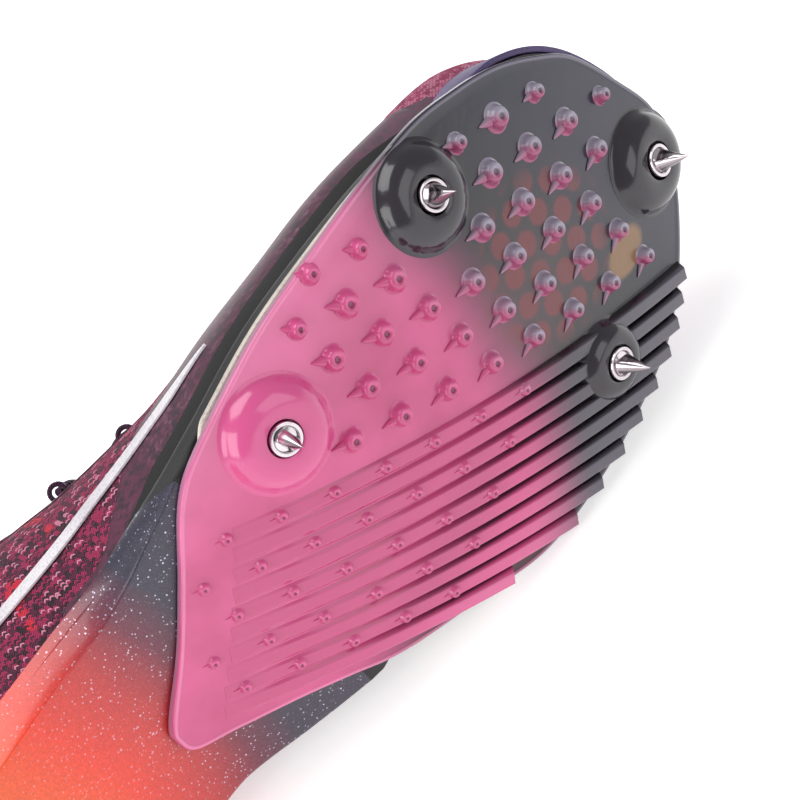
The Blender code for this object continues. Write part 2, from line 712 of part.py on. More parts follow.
def build_sockets(group):
    """Guide bodies that open each boss for its metal cup."""
    bm = bmesh.new()
    top, radius = OUTSOLE_SKIN - BOSS_HEIGHT, CUP_RADIUS + GAP
    profile = ((radius, top - CUP_DEPTH), (radius, top + CUP_DEPTH + GAP))
    for spike in SPIKES:
        turned_profile(bm, flat_spike(spike), profile, ROUND_SIDES)
    return cutter("socket_guide", bm, group)


def build_outsole_plate(group, guides):
    """Outsole plate with ridges, nubs and spike bosses, built flat and then bent."""
    loops = [slab_loop(r / 2, 0.0, OUTSOLE_SKIN, OUTSOLE_TOP, loop=PLATE) for r in range(2 * PLATE.last + 1)]
    plate = loft("outsole_plate", loops, "plate_pink", group)
    for made, operation in ((build_ridges(guides), "UNION"), (build_bosses(guides), "UNION"),
                            (build_nubs(guides), "UNION"), (build_sockets(guides), "DIFFERENCE")):
        add_boolean(plate, made, operation)
    bake(plate)
    bm = bmesh.new()
    bm.from_mesh(plate.data)
    bmesh.ops.triangulate(bm, faces=bm.faces)
    for vert in bm.verts:
        vert.co = bend(*vert.co)
    clean_body(bm)
    bm.to_mesh(plate.data)
    bm.free()
    return plate


def spike_frame(spike):
    """Matrix that stands a turned piece on its boss, its Z axis pointing out of the sole."""
    place = flat_spike(spike)
    out = -base_normal(place.x, place.y)
    seat = bend(place.x, place.y, OUTSOLE_SKIN - BOSS_HEIGHT)
    turn = out.to_track_quat("Z", "X").to_matrix().to_4x4()
    return Matrix.Translation(seat) @ turn


def build_cup(spike, group):
    """Metal cup in a boss: a short can with a recess for the spike's flange."""
    inner = CUP_RADIUS - CUP_LIP
    profile = ((CUP_RADIUS, -CUP_DEPTH), (CUP_RADIUS, CUP_PROUD), (inner, CUP_PROUD), (inner, -CUP_RECESS))
    bm = bmesh.new()
    turned_profile(bm, Vector((0.0, 0.0)), profile, ROUND_SIDES)
    clean_body(bm)
    mesh = bpy.data.meshes.new("cup_" + spike.name)
    bm.to_mesh(mesh)
    bm.free()
    made = object_from("spike_cup_" + spike.name, mesh, "steel", group)
    made.matrix_world = spike_frame(spike)
    return made


def build_spike(spike, group):
    """Steel spike: a flange in the cup's recess and a long cone with flats."""
    radius = CUP_RADIUS - CUP_LIP - GAP
    low = -CUP_RECESS + GAP
    profile = ((radius, low), (radius, low + SPIKE_FLANGE), (0.82 * radius, low + 1.5 * SPIKE_FLANGE),
               (0.03 * radius, SPIKE_LENGTH))
    bm = bmesh.new()
    turned_profile(bm, Vector((0.0, 0.0)), profile, SPIKE_SIDES)
    clean_body(bm)
    mesh = bpy.data.meshes.new("spike_" + spike.name)
    bm.to_mesh(mesh)
    bm.free()
    made = object_from("spike_" + spike.name, mesh, "steel", group)
    made.matrix_world = spike_frame(spike)
    return made


def tongue_section(row, depth):
    """Points across the tongue at a row, at a depth under the upper's outer face."""
    points = []
    for t in (1.0 - TONGUE_REACH, 1.0 - TONGUE_REACH / 2, 0.995):
        points.append(inside_wall(-1, row, t, depth))
    outer, inner = points[-1], inside_wall(1, row, 0.995, depth)
    rise = TONGUE_CROWN * min(1.0, (inner - outer).length / 0.020)
    for share in (0.3, 0.7):
        points.append(outer.lerp(inner, share) + Vector((0, 0, rise)))
    points.append(inner)
    for t in (1.0 - TONGUE_REACH / 2, 1.0 - TONGUE_REACH):
        points.append(inside_wall(1, row, t, depth))
    return points


def build_tongue(group):
    """Tongue under the throat, with its tab above the top of the throat."""
    rows = (10.6, 10.0, 9.5, 9.0, 8.5, 8.0, 7.5, 7.0, 6.5, 6.0, 5.6)
    depth = UPPER_WALL + 2 * GAP
    loops = []
    for row in rows:
        loops.append(tongue_section(row, depth) + tongue_section(row, depth + TONGUE_THICKNESS)[::-1])
    middle = sum((p.y for p in loops[-1])) / len(loops[-1])
    loops.append([Vector((p.x, middle + TONGUE_TAB_TAPER * (p.y - middle), p.z))
                  + TONGUE_TAB * Vector((-0.62, 0.0, 0.78)) for p in loops[-1]])
    return loft("tongue", loops, "lining", group)


def tube(name, points, radius, look, group, resolution=1):
    """Tube mesh along points, with filled ends."""
    curve = bpy.data.curves.new(name, "CURVE")
    curve.dimensions = "3D"
    curve.bevel_depth = radius
    curve.bevel_resolution = resolution
    curve.use_fill_caps = True
    spline = curve.splines.new("POLY")
    spline.points.add(len(points) - 1)
    for target, p in zip(spline.points, points):
        target.co = (*p, 1.0)
    holder = bpy.data.objects.new(name + "_curve", curve)
    group.objects.link(holder)
    depsgraph = bpy.context.evaluated_depsgraph_get()
    mesh = bpy.data.meshes.new_from_object(holder.evaluated_get(depsgraph))
    bpy.data.objects.remove(holder, do_unlink=True)
    bm = bmesh.new()
    bm.from_mesh(mesh)
    clean_body(bm)
    bm.to_mesh(mesh)
    bm.free()
    mesh.name = name
    return object_from(name, mesh, look, group)


def eyelet(side, row):
    """Seat of an eyelet loop on the upper's face and its outward normal."""
    near = 0.6
    reach = (wall_point(side, row, 1.0) - wall_point(side, row, near)).length
    t = 1.0 - (1.0 - near) * EYELET_INSET / reach
    return wall_point(side, row, t), wall_normal(side, row, t)


def build_eyelet_loop(side, row, number, group):
    """Small cord loop standing on the eyestay."""
    seat, normal = eyelet(side, row)
    along = (wall_point(side, row + 0.1, 1.0) - wall_point(side, row - 0.1, 1.0)).normalized()
    radius = (LACE_RADIUS + LOOP_RADIUS + GAP) / math.cos(math.pi / 12)
    dip = math.asin((LACE_RADIUS - LOOP_RADIUS) / radius)
    points = []
    for k in range(7):
        angle = (math.pi + 2 * dip) * k / 6 - dip
        points.append(seat + (LACE_RADIUS + GAP + radius * math.sin(angle)) * normal
                      + radius * math.cos(angle) * along)
    name = "eyelet_loop_" + ("outer_" if side < 0 else "inner_") + str(number)
    return tube(name, points, LOOP_RADIUS, "cord", group, resolution=0)


def lace_seat(side, row):
    """Point where the lace runs through an eyelet loop."""
    seat, normal = eyelet(side, row)
    return seat + (LACE_RADIUS + GAP) * normal


def lace_edge(side, row):
    """Point where the lace runs over the edge of the throat."""
    return wall_point(side, row, 1.0) + (LACE_RADIUS + 2 * GAP) * wall_normal(side, row, 1.0)


def lace_middle(row):
    """Point where the lace runs over the middle of the tongue."""
    middle = wall_point(-1, row, 1.0).lerp(wall_point(1, row, 1.0), 0.5)
    rise = TONGUE_CROWN - UPPER_WALL + LACE_RADIUS + LACE_CLEAR
    return middle + Vector((0, 0, rise))


def lace_strand(first_side):
    """Centre line of one lace strand, which changes side at each eyelet row."""
    points = []
    side = first_side
    for row, next_row in zip(EYELET_ROWS, EYELET_ROWS[1:]):
        step = (next_row - row) / 4
        points += [lace_seat(side, row), lace_edge(side, row + step), lace_middle(row + 2 * step),
                   lace_edge(-side, row + 3 * step)]
        side = -side
    return points + [lace_seat(side, EYELET_ROWS[-1])]


def build_lace(group, guides):
    """Lace crossings over the tongue, both strands and the first bar joined."""
    one, two = lace_strand(-1), lace_strand(1)
    row = EYELET_ROWS[0]
    bar = [one[0], lace_edge(-1, row), lace_middle(row), lace_edge(1, row), two[0]]
    lace = tube("lace", one, LACE_RADIUS, "cord", group)
    for name, path in (("strand_guide", two), ("bar_guide", bar)):
        guide = tube(name, path, LACE_RADIUS, "cord", guides)
        guide.display_type = "WIRE"
        guide.hide_render = True
        add_boolean(lace, guide, "UNION")
    bake(lace)
    return lace


def wall_share(side, row, height):
    """Share of the upper's wall at which it reaches a height."""
    shares = np.linspace(0.0, 1.0, 41).tolist()
    heights = [wall_point(side, row, t).z for t in shares]
    return float(np.interp(height, heights, shares))


def build_side_tape(group):
    """Pale tape along the outer side of the upper, tapered at its front."""
    first, last = LAST.row_at(TAPE_REAR), LAST.row_at(TAPE_FRONT)
    loops = []
    for k in range(15):
        share = k / 14
        row = first + share * (last - first)
        height = TAPE_HEIGHT_REAR + share * (TAPE_HEIGHT_FRONT - TAPE_HEIGHT_REAR)
        half = TAPE_WIDTH / 2 * min(1.0, 0.15 + 6 * (1 - share))
        low = wall_share(-1, row, height - half)
        high = wall_share(-1, row, height + half)
        loops.append([wall_point(-1, row, low) + 2 * GAP * wall_normal(-1, row, low),
                      wall_point(-1, row, high) + 2 * GAP * wall_normal(-1, row, high),
                      wall_point(-1, row, high) + (2 * GAP + TAPE_THICKNESS) * wall_normal(-1, row, high),
                      wall_point(-1, row, low) + (2 * GAP + TAPE_THICKNESS) * wall_normal(-1, row, low)])
    return loft("side_tape", loops, "tape_white", group)


def shape_of(group):
    """Points of every piece as it stands, and the centre of mass for one even density."""
    bpy.context.view_layer.update()
    depsgraph = bpy.context.evaluated_depsgraph_get()
    points, moment, volume = [], Vector(), 0.0
    for made in group.objects:
        held = made.evaluated_get(depsgraph)
        mesh = held.to_mesh()
        place = [made.matrix_world @ v.co for v in mesh.vertices]
        mesh.calc_loop_triangles()
        for triangle in mesh.loop_triangles:
            a, b, c = (place[k] for k in triangle.vertices)
            share = a.dot(b.cross(c)) / 6
            volume += share
            moment += share * (a + b + c) / 4
        points += place
        held.to_mesh_clear()
    return points, moment / volume


def side_rest(points, centre):
    """Rotation that lays the standing shoe on its inner side, on the face it rests on.

    The face is the one of the outer hull, towards the inner side, that lies under the centre
    of mass.
    """
    bm = bmesh.new()
    for p in points:
        bm.verts.new(p)
    hull = bmesh.ops.convex_hull(bm, input=bm.verts)
    best = None
    for face in (f for f in hull["geom"] if isinstance(f, bmesh.types.BMFace)):
        face.normal_update()
        normal = face.normal.copy()
        if normal.dot(face.calc_center_median() - centre) < 0:
            normal.negate()
        if normal.y < 0.8:
            continue
        reach = normal.dot(face.verts[0].co - centre)
        foot = centre + reach * normal
        corners = [v.co for v in face.verts]
        turns = [normal.dot((b - a).cross(foot - a)) for a, b in zip(corners, corners[1:] + corners[:1])]
        if (min(turns) > -1e-9 or max(turns) < 1e-9) and (best is None or reach < best[0]):
            best = (reach, normal)
    bm.free()
    down = best[1]
    ahead = Vector((1, 0, 0))
    ahead = (ahead - ahead.dot(down) * down).normalized()
    up = -down
    side = up.cross(ahead)
    return Matrix((ahead, side, up)).to_4x4()


def main():
    """Build every piece standing, then lay the shoe on its inner side."""
    for old in list(bpy.data.objects):
        bpy.data.objects.remove(old, do_unlink=True)
    group = collection("track_spike_shoe")
    guides = collection("guides")
    build_upper(group)
    build_insole(group)
    build_outsole_plate(group, guides)
    build_forefoot_plate(group)
    build_cushion_unit(group)
    build_shell(group)
    build_toe_bumper(group)
    for spike in SPIKES:
        build_cup(spike, group)
        build_spike(spike, group)
    build_tongue(group)
    for number, row in enumerate(EYELET_ROWS, start=1):
        for side in (-1, 1):
            build_eyelet_loop(side, row, number, group)
    build_lace(group, guides)
    build_side_tape(group)

    points, centre = shape_of(group)
    turn = side_rest(points, centre)
    laid = [turn @ p for p in points]
    origin = Vector((0.5 * (min(p.x for p in laid) + max(p.x for p in laid)),
                     0.5 * (min(p.y for p in laid) + max(p.y for p in laid)),
                     min(p.z for p in laid)))
    place = bpy.data.objects.new("shoe_place", None)
    group.objects.link(place)
    for made in list(group.objects):
        if made is not place:
            made.parent = place
    place.matrix_world = Matrix.Translation(-origin) @ turn


main()
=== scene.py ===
"""Track spike shoe, lying on its inner side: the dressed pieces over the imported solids.

The shoe is laid out standing, as the solids are: X runs from the heel to the toe, Y to the
inner side of the foot and Z up, in metres. Flat places (x, y, height) are bent onto the
sole's curved base surface. Each finished piece is then laid down with the solids, by the
places of the four spike cups.
"""
import logging
import math
from dataclasses import dataclass
from enum import Enum
from typing import Callable, NamedTuple, Optional, Sequence, Union

import bpy
import numpy as np
from mathutils import Matrix, Vector


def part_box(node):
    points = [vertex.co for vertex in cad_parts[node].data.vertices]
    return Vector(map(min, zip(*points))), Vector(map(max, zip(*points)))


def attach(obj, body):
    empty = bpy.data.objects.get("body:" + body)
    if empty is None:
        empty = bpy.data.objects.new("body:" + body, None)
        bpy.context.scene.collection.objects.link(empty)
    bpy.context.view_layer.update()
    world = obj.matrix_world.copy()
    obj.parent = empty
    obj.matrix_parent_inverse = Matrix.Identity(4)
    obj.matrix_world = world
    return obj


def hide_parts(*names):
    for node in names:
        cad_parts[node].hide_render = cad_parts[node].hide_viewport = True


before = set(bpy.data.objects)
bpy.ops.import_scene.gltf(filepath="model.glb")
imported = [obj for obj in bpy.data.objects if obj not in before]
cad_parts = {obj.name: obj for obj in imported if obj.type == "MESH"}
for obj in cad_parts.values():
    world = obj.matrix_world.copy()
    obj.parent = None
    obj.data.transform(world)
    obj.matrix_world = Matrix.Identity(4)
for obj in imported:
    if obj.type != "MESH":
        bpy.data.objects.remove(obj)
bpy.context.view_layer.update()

LOG = logging.getLogger("track_spike_shoe")

SHOE_LENGTH = 0.285
BALL_WIDTH = 0.0955
HEEL_WIDTH = 0.066
INSTEP_HEIGHT = 0.079
HEEL_HEIGHT = 0.084
SOLE_RISE = 0.030

Height = Union[float, Callable[[np.ndarray], np.ndarray]]


class Station(NamedTuple):
    """Base surface at a share of the shoe's length."""

    along: float
    keel: float
    low_line: float
    cross_radius: float
    extra_stack: float
    shell_drop: float


STATIONS = (
    Station(0.000, 0.300, 0.060, 0.450, 0.0060, 0.0038),
    Station(0.045, 0.150, 0.060, 0.450, 0.0060, 0.0038),
    Station(0.125, 0.085, 0.060, 0.450, 0.0060, 0.0038),
    Station(0.210, 0.130, 0.030, 0.400, 0.0045, 0.0030),
    Station(0.300, 0.255, -0.050, 0.300, 0.0014, 0.0006),
    Station(0.370, 0.320, -0.120, 0.240, 0.0004, -0.0003),
    Station(0.440, 0.190, -0.130, 0.210, 0.0000, -0.0002),
    Station(0.525, 0.042, -0.095, 0.207, 0.0000, 0.0000),
    Station(0.605, 0.000, -0.052, 0.207, 0.0000, 0.0000),
    Station(0.700, 0.060, 0.000, 0.207, 0.0000, 0.0000),
    Station(0.807, 0.263, 0.056, 0.207, 0.0000, 0.0000),
    Station(0.912, 0.607, 0.113, 0.207, 0.0000, 0.0000),
    Station(1.000, 0.985, 0.160, 0.207, 0.0000, 0.0000),
)


class Row(NamedTuple):
    """One section of the upper, from its sole point to its opening point."""

    along: float
    width: float
    outer: float
    inner: float
    top_along: float
    top_outer: float
    top_inner: float
    height: float
    rise: float
    swell: float
    lean: float
    start: float
    finish: float


ROWS = (
    Row(0.007, HEEL_WIDTH, 0.090, 0.090, 0.030, 0.090, 0.090, HEEL_HEIGHT, 1.000, 0.0045, 99, 0.33, 0.33),
    Row(0.032, HEEL_WIDTH, -0.197, 0.379, 0.044, -0.130, 0.305, HEEL_HEIGHT, 0.972, 0.0045, 97, 0.33, 0.33),
    Row(0.088, HEEL_WIDTH, -0.364, 0.545, 0.102, -0.285, 0.455, HEEL_HEIGHT, 0.880, 0.003, 94, 0.33, 0.33),
    Row(0.175, HEEL_WIDTH, -0.409, 0.583, 0.197, -0.356, 0.515, HEEL_HEIGHT, 0.800, 0.0015, 90, 0.33, 0.33),
    Row(0.281, HEEL_WIDTH, -0.402, 0.590, 0.295, -0.340, 0.480, HEEL_HEIGHT, 0.905, 0.0015, 78, 0.34, 0.33),
    Row(0.375, HEEL_WIDTH, -0.414, 0.595, 0.390, -0.245, 0.345, INSTEP_HEIGHT, 1.000, 0.002, 56, 0.36, 0.32),
    Row(0.453, BALL_WIDTH, -0.344, 0.415, 0.463, -0.135, 0.200, INSTEP_HEIGHT, 0.930, 0.002, 42, 0.33, 0.34),
    Row(0.530, BALL_WIDTH, -0.412, 0.408, 0.537, -0.128, 0.184, INSTEP_HEIGHT, 0.840, 0.002, 33, 0.32, 0.36),
    Row(0.611, BALL_WIDTH, -0.471, 0.466, 0.607, -0.115, 0.162, INSTEP_HEIGHT, 0.770, 0.003, 25, 0.38, 0.40),
    Row(0.684, BALL_WIDTH, -0.484, 0.500, 0.667, -0.098, 0.140, INSTEP_HEIGHT, 0.725, 0.004, 19, 0.42, 0.46),
    Row(0.765, BALL_WIDTH, -0.470, 0.496, 0.705, -0.076, 0.113, INSTEP_HEIGHT, 0.705, 0.006, 13, 0.42, 0.58),
    Row(0.842, BALL_WIDTH, -0.422, 0.460, 0.725, -0.045, 0.082, INSTEP_HEIGHT, 0.696, 0.009, 9, 0.34, 0.68),
    Row(0.917, BALL_WIDTH, -0.352, 0.356, 0.733, -0.010, 0.052, INSTEP_HEIGHT, 0.692, 0.011, 6, 0.27, 0.75),
    Row(0.966, BALL_WIDTH, -0.205, 0.194, 0.737, 0.008, 0.034, INSTEP_HEIGHT, 0.690, 0.012, 5, 0.23, 0.79),
    Row(0.988, BALL_WIDTH, 0.030, 0.030, 0.738, 0.021, 0.021, INSTEP_HEIGHT, 0.689, 0.012, 4, 0.22, 0.80),
)


class Edge(NamedTuple):
    """Outline of the spike plate at a share of the shoe's length."""

    along: float
    outer: float
    inner: float


PLATE_EDGES = (
    Edge(0.3660, 0.105, 0.105),
    Edge(0.3720, 0.060, 0.160),
    Edge(0.4040, -0.045, 0.205),
    Edge(0.4430, -0.185, 0.255),
    Edge(0.4880, -0.345, 0.320),
    Edge(0.5310, -0.415, 0.385),
    Edge(0.6070, -0.478, 0.458),
    Edge(0.6700, -0.494, 0.522),
    Edge(0.7440, -0.494, 0.524),
    Edge(0.8140, -0.471, 0.500),
    Edge(0.8630, -0.420, 0.470),
    Edge(0.9020, -0.361, 0.408),
    Edge(0.9340, -0.285, 0.335),
    Edge(0.9620, -0.190, 0.255),
    Edge(0.9800, -0.040, 0.172),
    Edge(0.9890, 0.080, 0.080),
)


class Spike(NamedTuple):
    """Place and boss size of one spike, in shares of length and ball width."""

    name: str
    along: float
    across: float
    boss_radius: float


SPIKES = (
    Spike("toe", 0.948, 0.132, 0.0110),
    Spike("ball_inner", 0.806, 0.316, 0.0092),
    Spike("ball_outer", 0.780, -0.357, 0.0112),
    Spike("rear_outer", 0.573, -0.293, 0.0122),
)


class NubRow(NamedTuple):
    """One row of the skew grid and the first and last place that it fills."""

    row: int
    first: int
    last: int


NUB_ROWS = (NubRow(-1, 3, 10), NubRow(-2, 4, 10), NubRow(-3, 4, 10),
            NubRow(-4, 4, 11), NubRow(-5, 5, 12), NubRow(-6, 9, 11))
KNOB_ROWS = (NubRow(0, 0, 6), NubRow(1, -1, 5), NubRow(2, -1, 4), NubRow(3, -2, 3), NubRow(4, -2, 2))


@dataclass(frozen=True)
class Layers:
    """Walls, gaps and layer heights of the sole, over its base surface."""

    gap: float = 0.0003
    upper_wall: float = 0.0018
    floor_clear: float = 0.0006
    skin: float = 0.0018
    outsole_top: float = 0.0038
    unit_low: float = 0.0041
    unit_thickness: float = 0.0015
    floor_top: float = 0.0083
    rim_wall: float = 0.0014
    rim_rise: float = 0.0040
    bumper_rise: float = 0.0068
    shell_rim_rise: float = 0.0024
    insole: float = 0.0030
    bumper_row: float = 11.25

    @property
    def feather(self) -> float:
        """Inset of the upper's foot from the sole's edge."""
        return self.rim_wall + self.gap


LAYERS = Layers()


def smooth(low: float, high: float, value: np.ndarray) -> np.ndarray:
    """Smooth share from 0 at low to 1 at high.

    Args:
        low: Value at which the share leaves 0.
        high: Value at which the share reaches 1.
        value: Values to grade.

    Returns:
        Shares from 0 to 1.
    """
    t = np.clip((np.asarray(value, dtype=float) - low) / (high - low), 0.0, 1.0)
    return t * t * (3.0 - 2.0 * t)


def unit(vectors: np.ndarray) -> np.ndarray:
    """Vectors of length one.

    Args:
        vectors: Array of vectors along its last axis.

    Returns:
        The same directions at length one.
    """
    length = np.linalg.norm(vectors, axis=-1, keepdims=True)
    return vectors / np.maximum(length, 1e-12)


class SoleSurface:
    """Curved base surface with toe spring, arch and round underside."""

    def __init__(self, stations: Sequence[Station] = STATIONS) -> None:
        """Take the stations from heel to toe.

        Args:
            stations: Rows of the surface's table.
        """
        self.along = np.array([s.along for s in stations]) * SHOE_LENGTH
        self.table = np.array([[s.keel * SOLE_RISE, s.low_line * BALL_WIDTH, 1.0 / s.cross_radius,
                                s.extra_stack, s.shell_drop] for s in stations])
        self.slopes = np.gradient(self.table, self.along, axis=0)

    def values(self, x: np.ndarray) -> np.ndarray:
        """Keel, low line, cross curvature, extra stack and shell drop at lengths x.

        Args:
            x: Lengths from the heel.

        Returns:
            One row of five values for each length.
        """
        x = np.asarray(x, dtype=float)
        i = np.clip(np.searchsorted(self.along, x) - 1, 0, len(self.along) - 2)
        step = (self.along[i + 1] - self.along[i])[..., None]
        t = (x - self.along[i])[..., None] / step
        return ((2 * t**3 - 3 * t**2 + 1) * self.table[i]
                + (t**3 - 2 * t**2 + t) * step * self.slopes[i]
                + (3 * t**2 - 2 * t**3) * self.table[i + 1] + (t**3 - t**2) * step * self.slopes[i + 1])

    def height(self, x: np.ndarray, y: np.ndarray) -> np.ndarray:
        """Height of the base surface over a plan place."""
        values = self.values(x)
        return values[..., 0] + values[..., 2] * (y - values[..., 1]) ** 2 / 2

    def normal(self, x: np.ndarray, y: np.ndarray) -> np.ndarray:
        """Upward normals of the base surface at plan places.

        Args:
            x: Places along the shoe.
            y: Places across the shoe.

        Returns:
            Unit normals.
        """
        step = 0.0005
        slope_x = (self.height(x + step, y) - self.height(x - step, y)) / (2 * step)
        slope_y = (self.height(x, y + step) - self.height(x, y - step)) / (2 * step)
        return unit(np.stack([-slope_x, -slope_y, np.ones_like(slope_x)], axis=-1))

    def bend(self, flat: np.ndarray) -> np.ndarray:
        """Bend flat places onto the base surface.

        Args:
            flat: Places (x, y, height) along the last axis.

        Returns:
            Places in the standing shoe.
        """
        x, y, h = flat[..., 0], flat[..., 1], flat[..., 2]
        foot = np.stack([x, y, self.height(x, y)], axis=-1)
        return foot + h[..., None] * self.normal(x, y)

    def stack_top(self, x: np.ndarray) -> np.ndarray:
        """Height of the footbed floor."""
        return LAYERS.floor_top + self.values(x)[..., 3]

    def shell_bottom(self, x: np.ndarray) -> np.ndarray:
        """Height of the shell's underside."""
        return LAYERS.unit_low - self.values(x)[..., 4]


class ClosedLoop:
    """Closed smooth curve through rows of values, outer side first and inner side back."""

    def __init__(self, outer: Sequence[Sequence[float]], inner: Sequence[Sequence[float]]) -> None:
        """Join both sides.

        Args:
            outer: Rows from heel to toe on the outer side.
            inner: Rows from heel to toe on the inner side.
        """
        self.last = len(outer) - 1
        self.table = np.array(list(outer) + list(inner)[-2:0:-1], dtype=float)
        self.count = len(self.table)

    def at(self, s: np.ndarray) -> np.ndarray:
        """Values at places along the loop, where s is the row number on the outer side.

        Args:
            s: Places along the loop.

        Returns:
            The rows' values, smoothly between them.
        """
        s = np.asarray(s, dtype=float)
        i = np.floor(s).astype(int)
        t = (s - i)[..., None]
        p0, p1, p2, p3 = (self.table[(i + k) % self.count] for k in (-1, 0, 1, 2))
        return 0.5 * (2 * p1 + (p2 - p0) * t + (2 * p0 - 5 * p1 + 4 * p2 - p3) * t**2
                      + (3 * p1 - p0 - 3 * p2 + p3) * t**3)

    def outward(self, s: np.ndarray) -> np.ndarray:
        """Outward directions in plan."""
        run = unit((self.at(s + 0.02) - self.at(s - 0.02))[..., :2])
        return np.stack([run[..., 1], -run[..., 0]], axis=-1)

    def point(self, s: np.ndarray, inset: Union[float, np.ndarray] = 0.0) -> np.ndarray:
        """Plan places along the loop, moved inward by inset."""
        inset = np.asarray(inset, dtype=float)[..., None]
        return self.at(s)[..., :2] - inset * self.outward(s)

    def inner(self, row: np.ndarray) -> np.ndarray:
        """Place along the loop of a row on the inner side."""
        return self.count - np.asarray(row, dtype=float)

    def row_at(self, x: float) -> float:
        """Row number where the outer side reaches a length x."""
        rows = np.linspace(0.0, self.last, 40 * self.last + 1)
        return float(np.interp(x, np.maximum.accumulate(self.at(rows)[:, 0]), rows))

    def deck(self, rows: np.ndarray, share: float, inset: Union[float, np.ndarray],
             height: Height) -> np.ndarray:
        """Flat places at a share of the way across, for many rows.

        Args:
            rows: Row numbers.
            share: 0 at the outer side and 1 at the inner side.
            inset: Inset of both sides.
            height: Height over the base surface, or a function of the length.

        Returns:
            One flat place for each row.
        """
        outer, inner = self.point(rows, inset), self.point(self.inner(rows), inset)
        plan = outer + share * (inner - outer)
        level = height(plan[:, 0]) if callable(height) else np.broadcast_to(height, len(plan))
        return np.column_stack([plan, level])


def row_values(row: Row, side: int) -> tuple[float, ...]:
    """One side's values of an upper row: sole point, opening point and wall shape.

    Args:
        row: Row of the form.
        side: -1 for the outer side and 1 for the inner side.

    Returns:
        Values of the row on that side.
    """
    across = row.outer if side < 0 else row.inner
    top_across = row.top_outer if side < 0 else row.top_inner
    return (row.along * SHOE_LENGTH, across * row.width, row.top_along * SHOE_LENGTH,
            top_across * row.width, row.rise * row.height, row.swell, row.lean, row.start, row.finish)


class ShoeForm:
    """The shared forms: sole surface, outlines, and the upper's wall between them."""

    def __init__(self) -> None:
        """Work out the loops from their tables."""
        self.sole = SoleSurface()
        self.last = ClosedLoop([row_values(r, -1) for r in ROWS], [row_values(r, 1) for r in ROWS])
        self.plate = ClosedLoop([(e.along * SHOE_LENGTH, e.outer * BALL_WIDTH) for e in PLATE_EDGES],
                                [(e.along * SHOE_LENGTH, e.inner * BALL_WIDTH) for e in PLATE_EDGES])

    def row_of(self, s: np.ndarray) -> np.ndarray:
        """Row number of a place along the last's loop."""
        s = np.mod(s, self.last.count)
        return np.where(s <= self.last.last, s, self.last.count - s)

    def wall(self, s: np.ndarray, t: np.ndarray) -> np.ndarray:
        """Places on the outside of the upper.

        Args:
            s: Places along the loop.
            t: 0 at the sole's rim and 1 at the opening.

        Returns:
            Places in the standing shoe.
        """
        s, t = np.broadcast_arrays(np.asarray(s, dtype=float), np.asarray(t, dtype=float))
        values = self.last.at(s)
        foot = self.last.point(s, LAYERS.feather)
        outward = self.last.outward(s)
        row = self.row_of(s)
        rim = (self.sole.stack_top(self.last.at(row)[..., 0])
               + np.where(row < LAYERS.bumper_row, LAYERS.rim_rise, LAYERS.bumper_rise))
        start = self.sole.bend(np.concatenate([foot, (rim + 2 * LAYERS.gap)[..., None]], axis=-1))
        top = values[..., 2:5]
        swell, lean = values[..., 5:6], np.radians(values[..., 6:7])
        reach = np.linalg.norm(top - start, axis=-1, keepdims=True)
        inward = (top - start) * (1.0, 1.0, 0.0)
        inward = unit(inward)
        out = np.concatenate([outward, np.zeros_like(outward[..., :1])], axis=-1)
        one = start + values[..., 7:8] * reach * self.sole.normal(foot[..., 0], foot[..., 1]) + swell * out
        two = top - values[..., 8:9] * reach * (np.cos(lean) * inward
                                                + np.sin(lean) * np.array((0.0, 0.0, 1.0)))
        t = t[..., None]
        return ((1 - t) ** 3 * start + 3 * t * (1 - t) ** 2 * one + 3 * t**2 * (1 - t) * two + t**3 * top)

    def wall_normal(self, s: np.ndarray, t: np.ndarray) -> np.ndarray:
        """Outward normals of the upper's wall.

        Args:
            s: Places along the loop.
            t: 0 at the sole's rim and 1 at the opening.

        Returns:
            Unit normals.
        """
        t = np.asarray(t, dtype=float)
        up = self.wall(s, np.minimum(t + 0.02, 1.0)) - self.wall(s, np.maximum(t - 0.02, 0.0))
        along = self.wall(s + 0.02, t) - self.wall(s - 0.02, t)
        return unit(np.cross(along, up))

    def over_wall(self, s: np.ndarray, t: np.ndarray, lift: float) -> np.ndarray:
        """Places at a height over the outside of the upper, or under it if lift is negative."""
        return self.wall(s, t) + lift * self.wall_normal(s, t)

    def spike_place(self, spike: Spike) -> np.ndarray:
        """Plan place of a spike."""
        return np.array((spike.along * SHOE_LENGTH, spike.across * BALL_WIDTH))


FORM = ShoeForm()


@dataclass(frozen=True)
class Grid:
    """The skew grid that the nubs and ridges follow."""

    origin: tuple[float, float] = (0.493 * SHOE_LENGTH, -0.205 * BALL_WIDTH)
    along: tuple[float, float] = (0.01146, 0.00543)
    across: tuple[float, float] = (0.00111, 0.01052)

    def place(self, i: float, j: float) -> np.ndarray:
        """Plan place of a grid point."""
        return np.array(self.origin) + i * np.array(self.along) + j * np.array(self.across)

    @property
    def direction(self) -> np.ndarray:
        """Direction of the rows in plan."""
        return unit(np.array(self.along))

    @property
    def sideways(self) -> np.ndarray:
        """Direction across the rows in plan."""
        return np.array((-self.direction[1], self.direction[0]))

    @property
    def pitch(self) -> float:
        """Distance between neighbouring ridges."""
        return abs(float(np.dot(self.across, self.sideways))) / 2


GRID = Grid()


